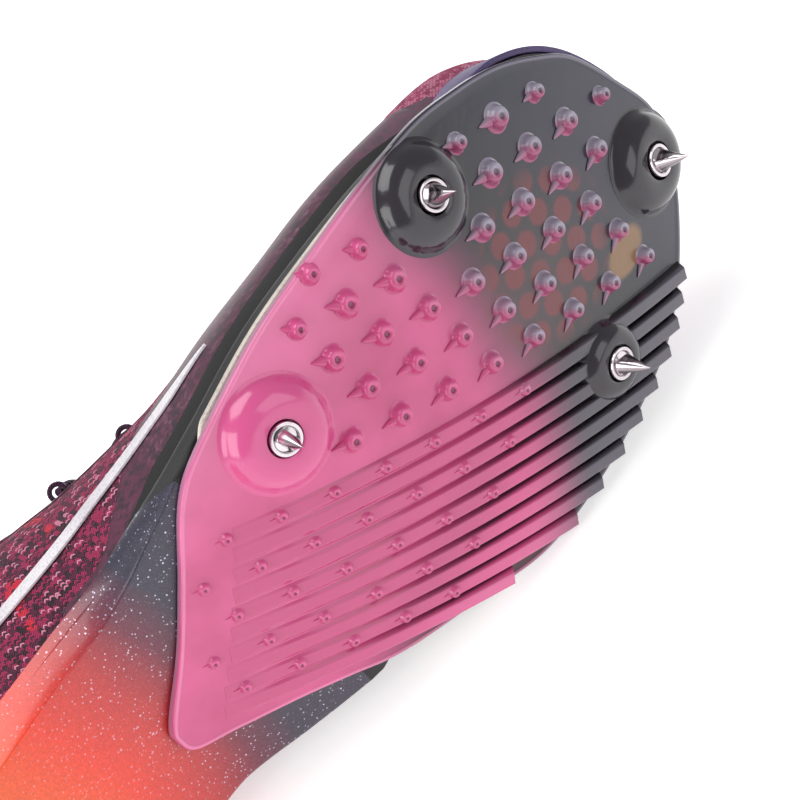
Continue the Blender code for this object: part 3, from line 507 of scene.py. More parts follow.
def laid_down() -> Matrix:
    """Find how the solids are laid down, from the middles of the four spike cups.

    Returns:
        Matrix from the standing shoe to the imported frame.
    """
    boss_height, cup_depth, cup_proud = 0.0043, 0.0026, 0.0005
    standing, laid = [], []
    for spike in SPIKES:
        plan = FORM.spike_place(spike)
        out = -FORM.sole.normal(plan[0], plan[1])
        seat = FORM.sole.bend(np.array((*plan, LAYERS.skin - boss_height)))
        standing.append(seat + out * (cup_proud - cup_depth) / 2)
        low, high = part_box("spike_cup_" + spike.name)
        laid.append((np.array(low) + np.array(high)) / 2)
    standing, laid = np.array(standing), np.array(laid)
    middle, laid_middle = standing.mean(axis=0), laid.mean(axis=0)
    u, _, v = np.linalg.svd((standing - middle).T @ (laid - laid_middle))
    flip = np.diag((1.0, 1.0, np.sign(np.linalg.det(v.T @ u.T))))
    turn = v.T @ flip @ u.T
    place = Matrix(turn.tolist()).to_4x4()
    place.translation = Vector((laid_middle - turn @ middle).tolist())
    return place


PLACE = laid_down()


class Bench:
    """Modelling steps on the active piece, as done by hand."""

    @staticmethod
    def clear() -> None:
        """Deselect everything."""
        if bpy.context.object is not None and bpy.context.object.mode != "OBJECT":
            bpy.ops.object.mode_set(mode="OBJECT")
        bpy.ops.object.select_all(action="DESELECT")

    @staticmethod
    def take(piece: bpy.types.Object) -> None:
        """Select one piece alone and make it active.

        Args:
            piece: Object to make the only selected one.
        """
        Bench.clear()
        piece.select_set(True)
        bpy.context.view_layer.objects.active = piece

    @staticmethod
    def points(piece: bpy.types.Object) -> np.ndarray:
        """Places of a piece's vertices.

        Args:
            piece: Object to read.

        Returns:
            The vertices' places.
        """
        flat = np.empty(3 * len(piece.data.vertices))
        piece.data.vertices.foreach_get("co", flat)
        return flat.reshape(-1, 3)

    @staticmethod
    def move(piece: bpy.types.Object, places: np.ndarray) -> None:
        """Put a piece's vertices at new places."""
        piece.data.vertices.foreach_set("co", np.ascontiguousarray(places, dtype=np.float32).ravel())
        piece.data.update()

    @staticmethod
    def remember(piece: bpy.types.Object, name: str, values: np.ndarray) -> None:
        """Keep a vector for each vertex in a named attribute."""
        layer = piece.data.attributes.get(name) or piece.data.attributes.new(name, "FLOAT_VECTOR", "POINT")
        layer.data.foreach_set("vector", np.ascontiguousarray(values, dtype=np.float32).ravel())

    @staticmethod
    def grid(name: str, places: np.ndarray, uv: Optional[np.ndarray] = None,
             flat: Optional[np.ndarray] = None) -> bpy.types.Object:
        """Add a grid and shape it to an array of places.

        Args:
            name: Name of the new piece.
            places: Array (columns, rows, 3) of standing places.
            uv: Optional array (columns, rows, 2) of cloth coordinates in metres.
            flat: Optional array (columns, rows, 3) of the flat places, kept as an attribute.

        Returns:
            The new piece, still open at its edges.
        """
        Bench.clear()
        columns, rows = places.shape[:2]
        bpy.ops.mesh.primitive_grid_add(x_subdivisions=columns - 1, y_subdivisions=rows - 1, size=2.0,
                                        calc_uvs=True, location=(0, 0, 0))
        piece = bpy.context.object
        piece.name = piece.data.name = name
        start = Bench.points(piece)
        i = np.rint((start[:, 0] + 1) / 2 * (columns - 1)).astype(int)
        j = np.rint((start[:, 1] + 1) / 2 * (rows - 1)).astype(int)
        Bench.move(piece, places[i, j])
        if flat is not None:
            Bench.remember(piece, "flat", flat[i, j])
        corners = np.empty(len(piece.data.loops), dtype=int)
        piece.data.loops.foreach_get("vertex_index", corners)
        if uv is not None:
            piece.data.uv_layers.active.data.foreach_set(
                "uv", uv[i, j][corners].astype(np.float32).ravel())
        return piece

    @staticmethod
    def close(piece: bpy.types.Object, caps: bool = False, weld: float = 2e-6) -> None:
        """Weld the seam, cap open ends if asked, and point the faces outward.

        Args:
            piece: Closed form whose seam is still open.
            caps: Whether its ends are open and get a face.
            weld: Distance within which vertices are one.
        """
        Bench.take(piece)
        bpy.ops.object.mode_set(mode="EDIT")
        bpy.ops.mesh.select_all(action="SELECT")
        bpy.ops.mesh.remove_doubles(threshold=weld)
        bpy.ops.mesh.dissolve_degenerate(threshold=weld)
        if caps:
            bpy.ops.mesh.select_all(action="SELECT")
            bpy.ops.mesh.fill_holes(sides=0)
        bpy.ops.mesh.select_all(action="SELECT")
        bpy.ops.mesh.normals_make_consistent(inside=False)
        bpy.ops.object.mode_set(mode="OBJECT")

    @staticmethod
    def turned(name: str, profile: Sequence[tuple[float, float]], sides: int = 32) -> bpy.types.Object:
        """Turn a closed body: a circle is extruded and resized along its profile.

        Args:
            name: Name of the new piece.
            profile: Pairs (radius, height) from one end to the other, without the axis.
            sides: Number of sides.

        Returns:
            The turned body, around the Z axis.
        """
        Bench.clear()
        radius, height = profile[0]
        bpy.ops.mesh.primitive_circle_add(vertices=sides, radius=radius, fill_type="NGON",
                                          location=(0, 0, height))
        piece = bpy.context.object
        piece.name = piece.data.name = name
        bpy.ops.object.transform_apply(location=True, rotation=False, scale=False)
        bpy.ops.object.mode_set(mode="EDIT")
        bpy.ops.mesh.select_all(action="SELECT")
        bpy.ops.mesh.poke()
        bpy.ops.mesh.select_all(action="DESELECT")
        bpy.ops.mesh.select_non_manifold(extend=False)
        for new_radius, new_height in profile[1:]:
            bpy.ops.mesh.extrude_edges_move(TRANSFORM_OT_translate={"value": (0, 0, new_height - height)})
            size = new_radius / radius
            bpy.ops.transform.resize(value=(size, size, 1.0), center_override=(0, 0, new_height))
            radius, height = new_radius, new_height
        bpy.ops.mesh.edge_face_add()
        bpy.ops.mesh.poke()
        bpy.ops.mesh.select_all(action="SELECT")
        bpy.ops.mesh.normals_make_consistent(inside=False)
        bpy.ops.object.mode_set(mode="OBJECT")
        return piece

    @staticmethod
    def copy(piece: bpy.types.Object, name: str) -> bpy.types.Object:
        """Copy a piece with its own mesh.

        Args:
            piece: Object to copy.
            name: Name of the copy.

        Returns:
            The copy.
        """
        made = piece.copy()
        made.data = piece.data.copy()
        made.name = made.data.name = name
        bpy.context.scene.collection.objects.link(made)
        return made

    @staticmethod
    def join(pieces: Sequence[bpy.types.Object], name: str) -> bpy.types.Object:
        """Join pieces into the first one.

        Args:
            pieces: Objects that become one.
            name: Name of the joined object.

        Returns:
            The joined object.
        """
        Bench.clear()
        for piece in pieces:
            piece.select_set(True)
        bpy.context.view_layer.objects.active = pieces[0]
        if len(pieces) > 1:
            bpy.ops.object.join()
        made = bpy.context.object
        made.name = made.data.name = name
        return made

    @staticmethod
    def discard(piece: bpy.types.Object) -> None:
        """Remove a pattern piece once its copies are made."""
        bpy.data.objects.remove(piece, do_unlink=True)

    @staticmethod
    def thicken(piece: bpy.types.Object, thickness: float, offset: float) -> None:
        """Give an open wall its thickness.

        Args:
            piece: Open wall with its faces outward.
            thickness: Thickness in metres.
            offset: 1 outward, -1 inward, 0 both ways.
        """
        Bench.take(piece)
        wall = piece.modifiers.new("wall", "SOLIDIFY")
        wall.thickness = thickness
        wall.offset = offset
        wall.use_even_offset = False
        wall.use_quality_normals = True
        bpy.ops.object.modifier_apply(modifier="wall")

    @staticmethod
    def soften(piece: bpy.types.Object, width: float, angle: float = 40.0, segments: int = 2) -> None:
        """Round the sharp edges of a piece with a bevel.

        Args:
            piece: Object to bevel.
            width: Width of the bevel.
            angle: Angle over which an edge is bevelled.
            segments: Steps across the bevel.
        """
        Bench.take(piece)
        edge = piece.modifiers.new("edge", "BEVEL")
        edge.width = width
        edge.segments = segments
        edge.limit_method = "ANGLE"
        edge.angle_limit = math.radians(angle)
        bpy.ops.object.modifier_apply(modifier="edge")

    @staticmethod
    def shade(piece: bpy.types.Object, angle: float = 50.0) -> None:
        """Shade smooth, with edges kept over an angle in degrees."""
        Bench.take(piece)
        bpy.ops.object.shade_smooth_by_angle(angle=math.radians(angle))

    @staticmethod
    def face_out(piece: bpy.types.Object, outward: np.ndarray) -> None:
        """Turn an open wall round if its first faces point against a direction.

        Args:
            piece: Object whose faces are turned.
            outward: Place that the faces look away from.
        """
        normals = np.empty(3 * len(piece.data.polygons))
        piece.data.polygons.foreach_get("normal", normals)
        centres = np.empty(3 * len(piece.data.polygons))
        piece.data.polygons.foreach_get("center", centres)
        rays = centres.reshape(-1, 3) - outward
        if float((normals.reshape(-1, 3) * rays).sum()) < 0:
            Bench.take(piece)
            bpy.ops.object.mode_set(mode="EDIT")
            bpy.ops.mesh.select_all(action="SELECT")
            bpy.ops.mesh.flip_normals()
            bpy.ops.object.mode_set(mode="OBJECT")


def colour(red: float, green: float, blue: float) -> tuple[float, float, float, float]:
    """Linear colour of a displayed colour given from 0 to 255.

    Args:
        red: Red, 0 to 255.
        green: Green, 0 to 255.
        blue: Blue, 0 to 255.

    Returns:
        Linear colour with full alpha.
    """
    def linear(value: float) -> float:
        """Linear value of one displayed channel."""
        share = value / 255.0
        return share / 12.92 if share <= 0.04045 else ((share + 0.055) / 1.055) ** 2.4
    return (linear(red), linear(green), linear(blue), 1.0)


Number = Union["Signal", float]
Tint = Union["Signal", tuple[float, float, float, float]]


class Signal:
    """A shader socket that can be used in sums, each of which adds a Math node."""

    def __init__(self, recipe: "Recipe", socket: bpy.types.NodeSocket) -> None:
        """Wrap a socket of a recipe's nodes."""
        self.recipe = recipe
        self.socket = socket

    def _sum(self, operation: str, *values: Number) -> "Signal":
        """Math node with the given operation and values."""
        return self.recipe.node("ShaderNodeMath", {"operation": operation}, dict(enumerate(values)))

    def __add__(self, other: Number) -> "Signal":
        """Sum of both."""
        return self._sum("ADD", self, other)

    __radd__ = __add__

    def __sub__(self, other: Number) -> "Signal":
        """This less the other."""
        return self._sum("SUBTRACT", self, other)

    def __rsub__(self, other: Number) -> "Signal":
        """The other less this."""
        return self._sum("SUBTRACT", other, self)

    def __mul__(self, other: Number) -> "Signal":
        """Product of both."""
        return self._sum("MULTIPLY", self, other)

    __rmul__ = __mul__

    def __truediv__(self, other: Number) -> "Signal":
        """This over the other."""
        return self._sum("DIVIDE", self, other)

    def __rtruediv__(self, other: Number) -> "Signal":
        """The other over this."""
        return self._sum("DIVIDE", other, self)

    def __pow__(self, other: Number) -> "Signal":
        """This to a power."""
        return self._sum("POWER", self, other)

    def __abs__(self) -> "Signal":
        """Size without the sign."""
        return self._sum("ABSOLUTE", self)

    def floor(self) -> "Signal":
        """Whole number below."""
        return self._sum("FLOOR", self)

    def wrap(self) -> "Signal":
        """Share past the whole number below."""
        return self._sum("FRACT", self)

    def high(self, other: Number) -> "Signal":
        """Higher of both."""
        return self._sum("MAXIMUM", self, other)

    def root(self) -> "Signal":
        """Square root."""
        return self._sum("SQRT", self)

    def sine(self) -> "Signal":
        """Sine of this in radians."""
        return self._sum("SINE", self)

    def ease(self, low: float, high: float) -> "Signal":
        """Smooth share from 0 at low to 1 at high, falling if low is over high.

        Args:
            low: Value at which the share is 0.
            high: Value at which the share is 1.

        Returns:
            Share of 0 to 1 with soft ends.
        """
        if low > high:
            return 1.0 - self.ease(high, low)
        return self.recipe.node("ShaderNodeMapRange", {"interpolation_type": "SMOOTHSTEP"},
                                {"Value": self, "From Min": low, "From Max": high})


class Recipe:
    """One material while its nodes are put together."""

    def __init__(self, name: str) -> None:
        """Start a material with a Principled shader.

        Args:
            name: Name of the material.
        """
        self.material = bpy.data.materials.new(name)
        self.material.use_nodes = True
        self.tree = self.material.node_tree
        self.shader = self.tree.nodes["Principled BSDF"]

    def feed(self, socket: bpy.types.NodeSocket, value: Union[Signal, float, tuple]) -> None:
        """Link a signal to a socket, or set the socket's own value.

        Args:
            socket: Socket that takes the value.
            value: Signal or constant.
        """
        if isinstance(value, Signal):
            self.tree.links.new(value.socket, socket)
        else:
            socket.default_value = value

    def node(self, kind: str, settings: Optional[dict] = None, inputs: Optional[dict] = None,
             output: Union[int, str] = 0) -> Signal:
        """Add a node.

        Args:
            kind: Node type.
            settings: Settings of the node; "stops" sets a ramp's stops.
            inputs: Values or signals by socket name or number.
            output: Name or number of the socket that is given back.

        Returns:
            Signal of that output.
        """
        made = self.tree.nodes.new(kind)
        for key, value in (settings or {}).items():
            if key == "stops":
                ramp = made.color_ramp
                while len(ramp.elements) < len(value):
                    ramp.elements.new(0.5)
                for element, (place, tint) in zip(ramp.elements, value):
                    element.position, element.color = place, tint
            elif key == "interpolation":
                made.color_ramp.interpolation = value
            else:
                setattr(made, key, value)
        for key, value in (inputs or {}).items():
            self.feed(made.inputs[key], value)
        return Signal(self, made.outputs[output])

    def vector(self, name: str) -> Signal:
        """Vector attribute of the piece."""
        return self.node("ShaderNodeAttribute", {"attribute_name": name}, output="Vector")

    def cloth(self) -> Signal:
        """Cloth coordinates of the piece, in metres."""
        return self.node("ShaderNodeUVMap", output="UV")

    def parts(self, vector: Signal, scale: float = 1.0) -> tuple[Signal, Signal, Signal]:
        """The three parts of a vector, times a number.

        Args:
            vector: Vector to split.
            scale: Factor on each part.

        Returns:
            The three parts.
        """
        made = self.tree.nodes.new("ShaderNodeSeparateXYZ")
        self.feed(made.inputs[0], vector)
        values = tuple(Signal(self, made.outputs[k]) for k in range(3))
        return values if scale == 1.0 else tuple(value * scale for value in values)

    def combine(self, x: Number, y: Number, z: Number = 0.0) -> Signal:
        """Vector from three numbers."""
        return self.node("ShaderNodeCombineXYZ", inputs={0: x, 1: y, 2: z})

    def mix(self, share: Number, first: Tint, second: Tint, blend: str = "MIX") -> Signal:
        """Colour from first to second by a share."""
        return self.node("ShaderNodeMix", {"data_type": "RGBA", "blend_type": blend},
                         {0: share, 6: first, 7: second}, output=2)

    def noise(self, vector: Signal, size: float, detail: float = 2.0, roughness: float = 0.5) -> Signal:
        """Soft noise around 0.5 with grains of a size in metres."""
        return self.node("ShaderNodeTexNoise", None,
                         {"Vector": vector, "Scale": 1.0 / size, "Detail": detail, "Roughness": roughness})

    def cells(self, vector: Signal, size: float, output: str = "Color") -> Signal:
        """Cell pattern with cells of a size in metres."""
        return self.node("ShaderNodeTexVoronoi", None, {"Vector": vector, "Scale": 1.0 / size},
                         output=output)

    def chance(self, vector: Signal) -> Signal:
        """Random number from 0 to 1 for each value of a vector."""
        return self.node("ShaderNodeTexWhiteNoise", {"noise_dimensions": "3D"}, {"Vector": vector})

    def ramp(self, share: Number, stops: Sequence[tuple[float, tuple]], steps: bool = False) -> Signal:
        """Colour at a share along stops."""
        return self.node("ShaderNodeValToRGB", {"stops": stops, "interpolation": "CONSTANT" if steps
                                                else "LINEAR"}, {0: share})

    def blot(self, x: Signal, y: Signal, centre: Sequence[float], radius: Sequence[float],
             edge: float = 0.5) -> Signal:
        """Soft round spot: 1 in its middle and 0 outside.

        Args:
            x: First coordinate.
            y: Second coordinate.
            centre: Middle of the spot.
            radius: Radii in both directions.
            edge: Share of the radius over which it fades.

        Returns:
            Share of the spot.
        """
        across, up = (x - centre[0]) / radius[0], (y - centre[1]) / radius[1]
        return (across * across + up * up).root().ease(1.0, 1.0 - edge)

    def bump(self, height: Signal, distance: float, strength: float = 1.0) -> Signal:
        """Normal raised by a height, in metres for a height of one."""
        return self.node("ShaderNodeBump", None,
                         {"Height": height, "Distance": distance, "Strength": strength}, output="Normal")

    def finish(self, **sockets: Union[Signal, float, tuple]) -> bpy.types.Material:
        """Feed the shader's sockets, named with underscores for spaces.

        Args:
            sockets: Values or signals by socket name.

        Returns:
            The finished material.
        """
        for key, value in sockets.items():
            self.feed(self.shader.inputs[key.replace("_", " ")], value)
        return self.material


class PlatePart(Enum):
    """Parts of the tinted plate, which take its colours in their own way."""

    DECK = "deck"
    RIDGE = "ridge"
    PEG = "peg"
    BOSS = "boss"


@dataclass(frozen=True)
class PlateFinish:
    """Clear moulded plastic, tinted pink at the rear and smoke grey at the toe."""

    pink: tuple = colour(208, 82, 138)
    pink_deep: tuple = colour(188, 66, 118)
    # Colour of the painted highlights and sheen on the plate.
    pink_highlight: tuple = colour(236, 140, 184)
    smoke: tuple = colour(31, 29, 36)
    navy: tuple = colour(34, 32, 52)
    lilac: tuple = colour(150, 142, 160)
    haze: tuple = colour(84, 62, 68)
    red: tuple = colour(128, 38, 46)
    tan: tuple = colour(150, 112, 72)
    # Colour of the painted shade in the grooves, at the ridges' feet and in the dimples.
    dark: tuple = colour(22, 16, 22)
    boss: tuple = colour(38, 33, 42)
    ridge_smoke: tuple = colour(84, 79, 92)
    # Colour of the pegs' shaded side in the smoke tint.
    peg_shaded_smoke: tuple = colour(132, 72, 106)
    boss_roughness: float = 0.16
    roughness: float = 0.22
    coat: float = 0.5
    cell_pitch: float = 7.5

    def smoke_share(self, recipe: Recipe, x: Signal, y: Signal) -> Signal:
        """Share of smoke tint at a plan place in millimetres."""
        grain = recipe.noise(recipe.combine(x, y), 26.0) * 10.0 - 5.0
        return (x + (y - 12.0).high(0.0) * 0.5 + grain).ease(200.0, 227.0)

    def deck_tint(self, recipe: Recipe, x: Signal, y: Signal, h: Signal, smoke: Signal) -> Signal:
        """Colour of the flat deck: a soft haze and plain cells show through it, with painted highlights
        along the outer edge and the rounded rim, and painted shade in the ridge grooves near the inner side.

        Args:
            recipe: Material that is put together.
            x: Plan place along the shoe in millimetres.
            y: Plan place across the shoe in millimetres.
            h: Height in millimetres.
            smoke: Share of smoke tint.

        Returns:
            The deck's colour.
        """
        cloud = recipe.noise(recipe.combine(x, y), 22.0, 3.0)
        pink = recipe.mix(cloud.ease(0.35, 0.7), self.pink, self.pink_deep)
        grey = recipe.mix((x - y * 0.2).ease(232.0, 262.0), self.smoke, self.navy)
        # Painted sheen: the pink is made lighter towards the outer edge.
        pink = recipe.mix((y * -1.0).ease(14.0, 46.0) * 0.35, pink, self.pink_highlight)
        tint = recipe.mix(smoke, pink, grey)
        tint = recipe.mix(recipe.blot(x, y, (226.0, 2.0), (26.0, 22.0), 0.9) * 0.5, tint, self.haze)
        step = 4.0 * math.pi / (math.sqrt(3.0) * self.cell_pitch)
        wave = sum(((x * (math.cos(a) * step) + y * (math.sin(a) * step) + math.pi / 2).sine()
                    for a in (0.3, 0.3 + math.pi / 3, 0.3 + 2 * math.pi / 3)), 0.0)
        cells = recipe.blot(x, y, (235.0, 0.0), (23.0, 21.0), 0.35) * wave.ease(-1.15, 0.25)
        tint = recipe.mix(cells * 0.65, tint, self.red)
        tint = recipe.mix(recipe.blot(x, y, (251.0, 19.0), (8.0, 5.0), 0.3) * 0.8, tint, self.tan)
        # Painted shade: the deck between the ridges is darkened near the inner side.
        field = (y - x * 0.474 + 86.2).ease(-2.0, 1.0)
        inner = (y + (x - 150.0) * 0.42).ease(22.0, 46.0)
        tint = recipe.mix(field * inner * 0.9, tint, self.dark)
        # Painted highlight along the rounded rim of the deck.
        rim = h.ease(1.77, 1.63)
        tint = recipe.mix(rim * 0.5, tint, recipe.mix(smoke, self.pink_highlight, self.lilac))
        return recipe.mix(h.ease(1.9, 2.6) * 0.5, tint, self.lilac)

    def make(self, part: PlatePart) -> bpy.types.Material:
        """Build the material.

        Args:
            part: Part of the plate.

        Returns:
            The finished material.
        """
        recipe = Recipe("tinted_" + part.value)
        place = recipe.vector("flat")
        x, y, h = recipe.parts(place, 1000.0)
        smoke = self.smoke_share(recipe, x, y)
        roughness = self.roughness
        if part is PlatePart.DECK:
            tint = self.deck_tint(recipe, x, y, h, smoke)
        elif part is PlatePart.RIDGE:
            # Painted light on the ridges: painted shade towards each ridge's foot, stronger near the inner
            # side, and a painted highlight on the crest.
            pink = recipe.mix(h.ease(1.4, -0.6), self.pink_deep, self.pink)
            pink = recipe.mix(h.ease(0.2, -1.0) * 0.3, pink, self.pink_highlight)
            grey = recipe.mix(h.ease(1.0, -0.9), self.dark, self.ridge_smoke)
            tint = recipe.mix(smoke, pink, grey)
            inner = (y + (x - 150.0) * 0.42).ease(22.0, 46.0)
            tint = recipe.mix(inner * h.ease(0.0, 1.3) * 0.9, tint, self.dark)
        elif part is PlatePart.PEG:
            across, up, level = recipe.parts(recipe.vector("spot"))
            # Painted light: each peg and spur is lighter on one side and shaded on the other; the low colour
            # is the shaded side and the top colour the lit side.
            lit = (across * 0.77 - up * 0.64).ease(-0.55, 0.40)
            low = recipe.mix(smoke * 0.55, self.pink_deep, self.peg_shaded_smoke)
            top = recipe.mix(smoke, self.pink, self.lilac)
            tint = recipe.mix(lit, low, top)
            # Painted shade in the dimple on top of each peg.
            dimple_shade = (across * across + up * up).root().ease(0.34, 0.20) * level.ease(0.5, 0.7)
            tint = recipe.mix(dimple_shade * 0.6, tint, self.dark)
        else:
            tint = recipe.mix(x.ease(190.0, 200.0), self.pink, self.boss)
            roughness = self.boss_roughness
        speck = recipe.noise(place, 0.0006, 2.0)
        return recipe.finish(Base_Color=tint, Roughness=speck * 0.06 + roughness, Coat_Weight=self.coat,
                             Coat_Roughness=0.06, Specular_IOR_Level=0.5,
                             Normal=recipe.bump(recipe.noise(place, 0.004, 2.0), 0.0002, 0.5))


@dataclass(frozen=True)
class ShellFinish:
    """Glitter lacquer that runs from navy over plum and red to orange at the heel."""

    navy: tuple = colour(52, 48, 66)
    plum: tuple = colour(110, 40, 62)
    red: tuple = colour(196, 52, 52)
    coral: tuple = colour(240, 62, 38)
    orange: tuple = colour(250, 98, 34)
    spark: tuple = colour(235, 235, 255)

    def make(self, name: str = "glitter_shell") -> bpy.types.Material:
        """Build the material.

        Args:
            name: Name of the material.

        Returns:
            The finished material.
        """
        recipe = Recipe(name)
        place = recipe.vector("shoe")
        x, y, z = recipe.parts(place, 1000.0)
        # Besides the lacquer's run from orange at the heel to navy at the toe, the colour grows darker away
        # from the middle line: painted shade along both edges.
        run = x + abs(y - 5.0) * 0.2 - z * 0.1 + recipe.noise(place, 0.03) * 6.0 - 3.0
        base = recipe.ramp((run - 72.0) / 64.0,
                           ((0.0, self.orange), (0.30, self.coral), (0.52, self.red), (0.70, self.plum),
                            (0.86, self.navy)))
        flake = recipe.cells(place, 0.00042)
        red, green, _ = recipe.parts(flake)
        spark = red.ease(0.93, 0.96) * recipe.cells(place, 0.00042, "Distance").ease(0.6, 0.3)
        big = recipe.parts(recipe.cells(place, 0.0008))[0].ease(0.975, 0.985) \
            * recipe.cells(place, 0.0008, "Distance").ease(0.4, 0.2)
        dust = recipe.noise(place, 0.0003, 2.0).ease(0.58, 0.8) * 0.3
        spark = spark.high(big).high(dust) * (run.ease(66.0, 118.0) * 0.75 + 0.12)
        tint = recipe.mix(spark * 0.7, base, self.spark)
        tint = recipe.mix(green * 0.18, tint, self.navy, "MULTIPLY")
        return recipe.finish(Base_Color=tint, Roughness=0.34 - spark * 0.2, Coat_Weight=0.35,
                             Coat_Roughness=0.12, Metallic=spark * 0.5,
                             Normal=recipe.bump(recipe.noise(place, 0.0011, 3.0), 0.00006, 0.6))


@dataclass(frozen=True)
class KnitFinish:
    """Marled zigzag knit in magenta, plum, black and pale yarn, with bands of red stitches."""

    magenta: tuple = colour(168, 32, 84)
    plum: tuple = colour(84, 20, 52)
    black: tuple = colour(26, 12, 24)
    pale: tuple = colour(226, 140, 168)
    red: tuple = colour(226, 34, 62)
    toe: tuple = colour(178, 66, 108)
    column: float = 0.0012
    course: float = 0.00085

    def make(self, name: str = "marled_knit") -> bpy.types.Material:
        """Build the material.

        Args:
            name: Name of the material.

        Returns:
            The finished material.
        """
        recipe = Recipe(name)
        u, v, _ = recipe.parts(recipe.cloth())
        shoe = recipe.vector("shoe")
        x, _, _ = recipe.parts(shoe, 1000.0)
        wobble = recipe.noise(recipe.cloth(), 0.006, 2.0) * 0.5
        a = u / self.column + wobble
        tri = abs(a.wrap() - 0.5) * 2.0
        b = v / self.course + tri * 0.9 + wobble
        cell = recipe.combine(a.floor(), b.floor())
        pick = recipe.chance(cell)
        yarn = recipe.ramp(pick, ((0.0, self.black), (0.22, self.plum), (0.46, self.magenta),
                                  (0.80, self.plum), (0.90, self.pale)), True)
        band = recipe.noise(recipe.combine(u, v * 0.5), 0.009, 1.0)
        reds = band.ease(0.64, 0.67) * x.ease(200.0, 185.0)
        reds = reds * recipe.chance(recipe.combine(b.floor(), a.floor(), 3.0)).ease(0.3, 0.4)
        tint = recipe.mix(reds, yarn, self.red)
        blush = recipe.mix(recipe.chance(recipe.combine(b.floor(), a.floor(), 7.0)).ease(0.4, 0.6), self.toe,
                           self.pale)
        tint = recipe.mix(x.ease(215.0, 240.0) * 0.75, tint, blush)
        loop = abs(b.wrap() - 0.5) * 2.0
        rib = tri * (1.0 - loop * loop)
        fibre = recipe.noise(recipe.combine(u * 4.0 + v, v * 9.0 + tri * 0.001), 0.0006, 2.0)
        depth = (1.0 - loop ** 3.0) * 0.75 + rib * 0.25
        # Painted shade in the hollows between the stitch loops, by the same height that drives the bump.
        tint = recipe.mix(depth.ease(0.55, 0.05) * 0.75, tint, self.black)
        return recipe.finish(Base_Color=tint, Roughness=0.78, Sheen_Weight=0.25, Sheen_Roughness=0.4,
                             Sheen_Tint=colour(255, 190, 215), Specular_IOR_Level=0.3,
                             Normal=recipe.bump(depth + fibre * 0.35, 0.00035, 0.9))


@dataclass(frozen=True)
class FilmFinish:
    """Clear film pressed on the knit: mottled plum with grey-lilac patches."""

    plum: tuple = colour(88, 26, 58)
    lilac: tuple = colour(120, 96, 112)
    dark: tuple = colour(38, 12, 30)
    wine: tuple = colour(140, 26, 66)
    gloss: float = 0.34

    def make(self, name: str = "pressed_film") -> bpy.types.Material:
        """Build the material.

        Args:
            name: Name of the material.

        Returns:
            The finished material.
        """
        recipe = Recipe(name)
        place = recipe.vector("shoe")
        x, _, _ = recipe.parts(place, 1000.0)
        grain = recipe.noise(place, 0.0022, 4.0, 0.7)
        patches = recipe.noise(place, 0.013, 2.0)
        fleck = recipe.noise(place, 0.0007, 2.0)
        tint = recipe.mix(grain.ease(0.35, 0.6), self.dark, self.plum)
        tint = recipe.mix(grain.ease(0.5, 0.72) * patches.ease(0.42, 0.62) * 0.85, tint, self.lilac)
        tint = recipe.mix(fleck.ease(0.62, 0.75) * 0.5, tint, self.wine)
        tint = recipe.mix(x.ease(205.0, 245.0) * 0.5, tint, self.lilac)
        return recipe.finish(Base_Color=tint, Roughness=grain * 0.3 + self.gloss, Coat_Weight=0.2,
                             Coat_Roughness=0.2, Normal=recipe.bump(grain + fleck * 0.5, 0.00016, 0.7))


@dataclass(frozen=True)
class MouldedFinish:
    """Moulded plastic or foam of one colour, with a fine speckle and soft clouds."""

    base: tuple
    second: tuple
    roughness: float = 0.35
    coat: float = 0.2
    grain: float = 0.0008
    depth: float = 0.00004

    def make(self, name: str) -> bpy.types.Material:
        """Build the material.

        Args:
            name: Name of the material.

        Returns:
            The finished material.
        """
        recipe = Recipe(name)
        place = recipe.vector("shoe")
        grain = recipe.noise(place, self.grain, 3.0, 0.6)
        cloud = recipe.noise(place, 0.02, 2.0)
        share = grain.ease(0.45, 0.7) * 0.5 + cloud.ease(0.35, 0.7) * 0.5
        return recipe.finish(Base_Color=recipe.mix(share, self.base, self.second),
                             Roughness=grain * 0.15 + self.roughness, Coat_Weight=self.coat,
                             Coat_Roughness=0.1, Normal=recipe.bump(grain, self.depth, 0.7))


BLACK_MOULD = MouldedFinish(colour(9, 8, 9), colour(16, 14, 16), 0.34, 0.08)


@dataclass(frozen=True)
class ClothFinish:
    """Plain woven cloth of two yarn colours."""

    warp: tuple
    weft: tuple
    pitch: float = 0.0009

    def make(self, name: str) -> bpy.types.Material:
        """Build the material.

        Args:
            name: Name of the material.

        Returns:
            The finished material.
        """
        recipe = Recipe(name)
        x, y, z = recipe.parts(recipe.vector("shoe"), math.tau / self.pitch)
        weave = (x + z * 0.4).sine() * (y + z * 0.6).sine()
        fuzz = recipe.noise(recipe.vector("shoe"), 0.0004, 2.0)
        tint = recipe.mix((weave * 0.5 + fuzz).ease(0.1, 0.9), self.warp, self.weft)
        return recipe.finish(Base_Color=tint, Roughness=0.85, Sheen_Weight=0.3, Specular_IOR_Level=0.2,
                             Normal=recipe.bump(weave * 0.5 + fuzz, 0.00018, 0.8))


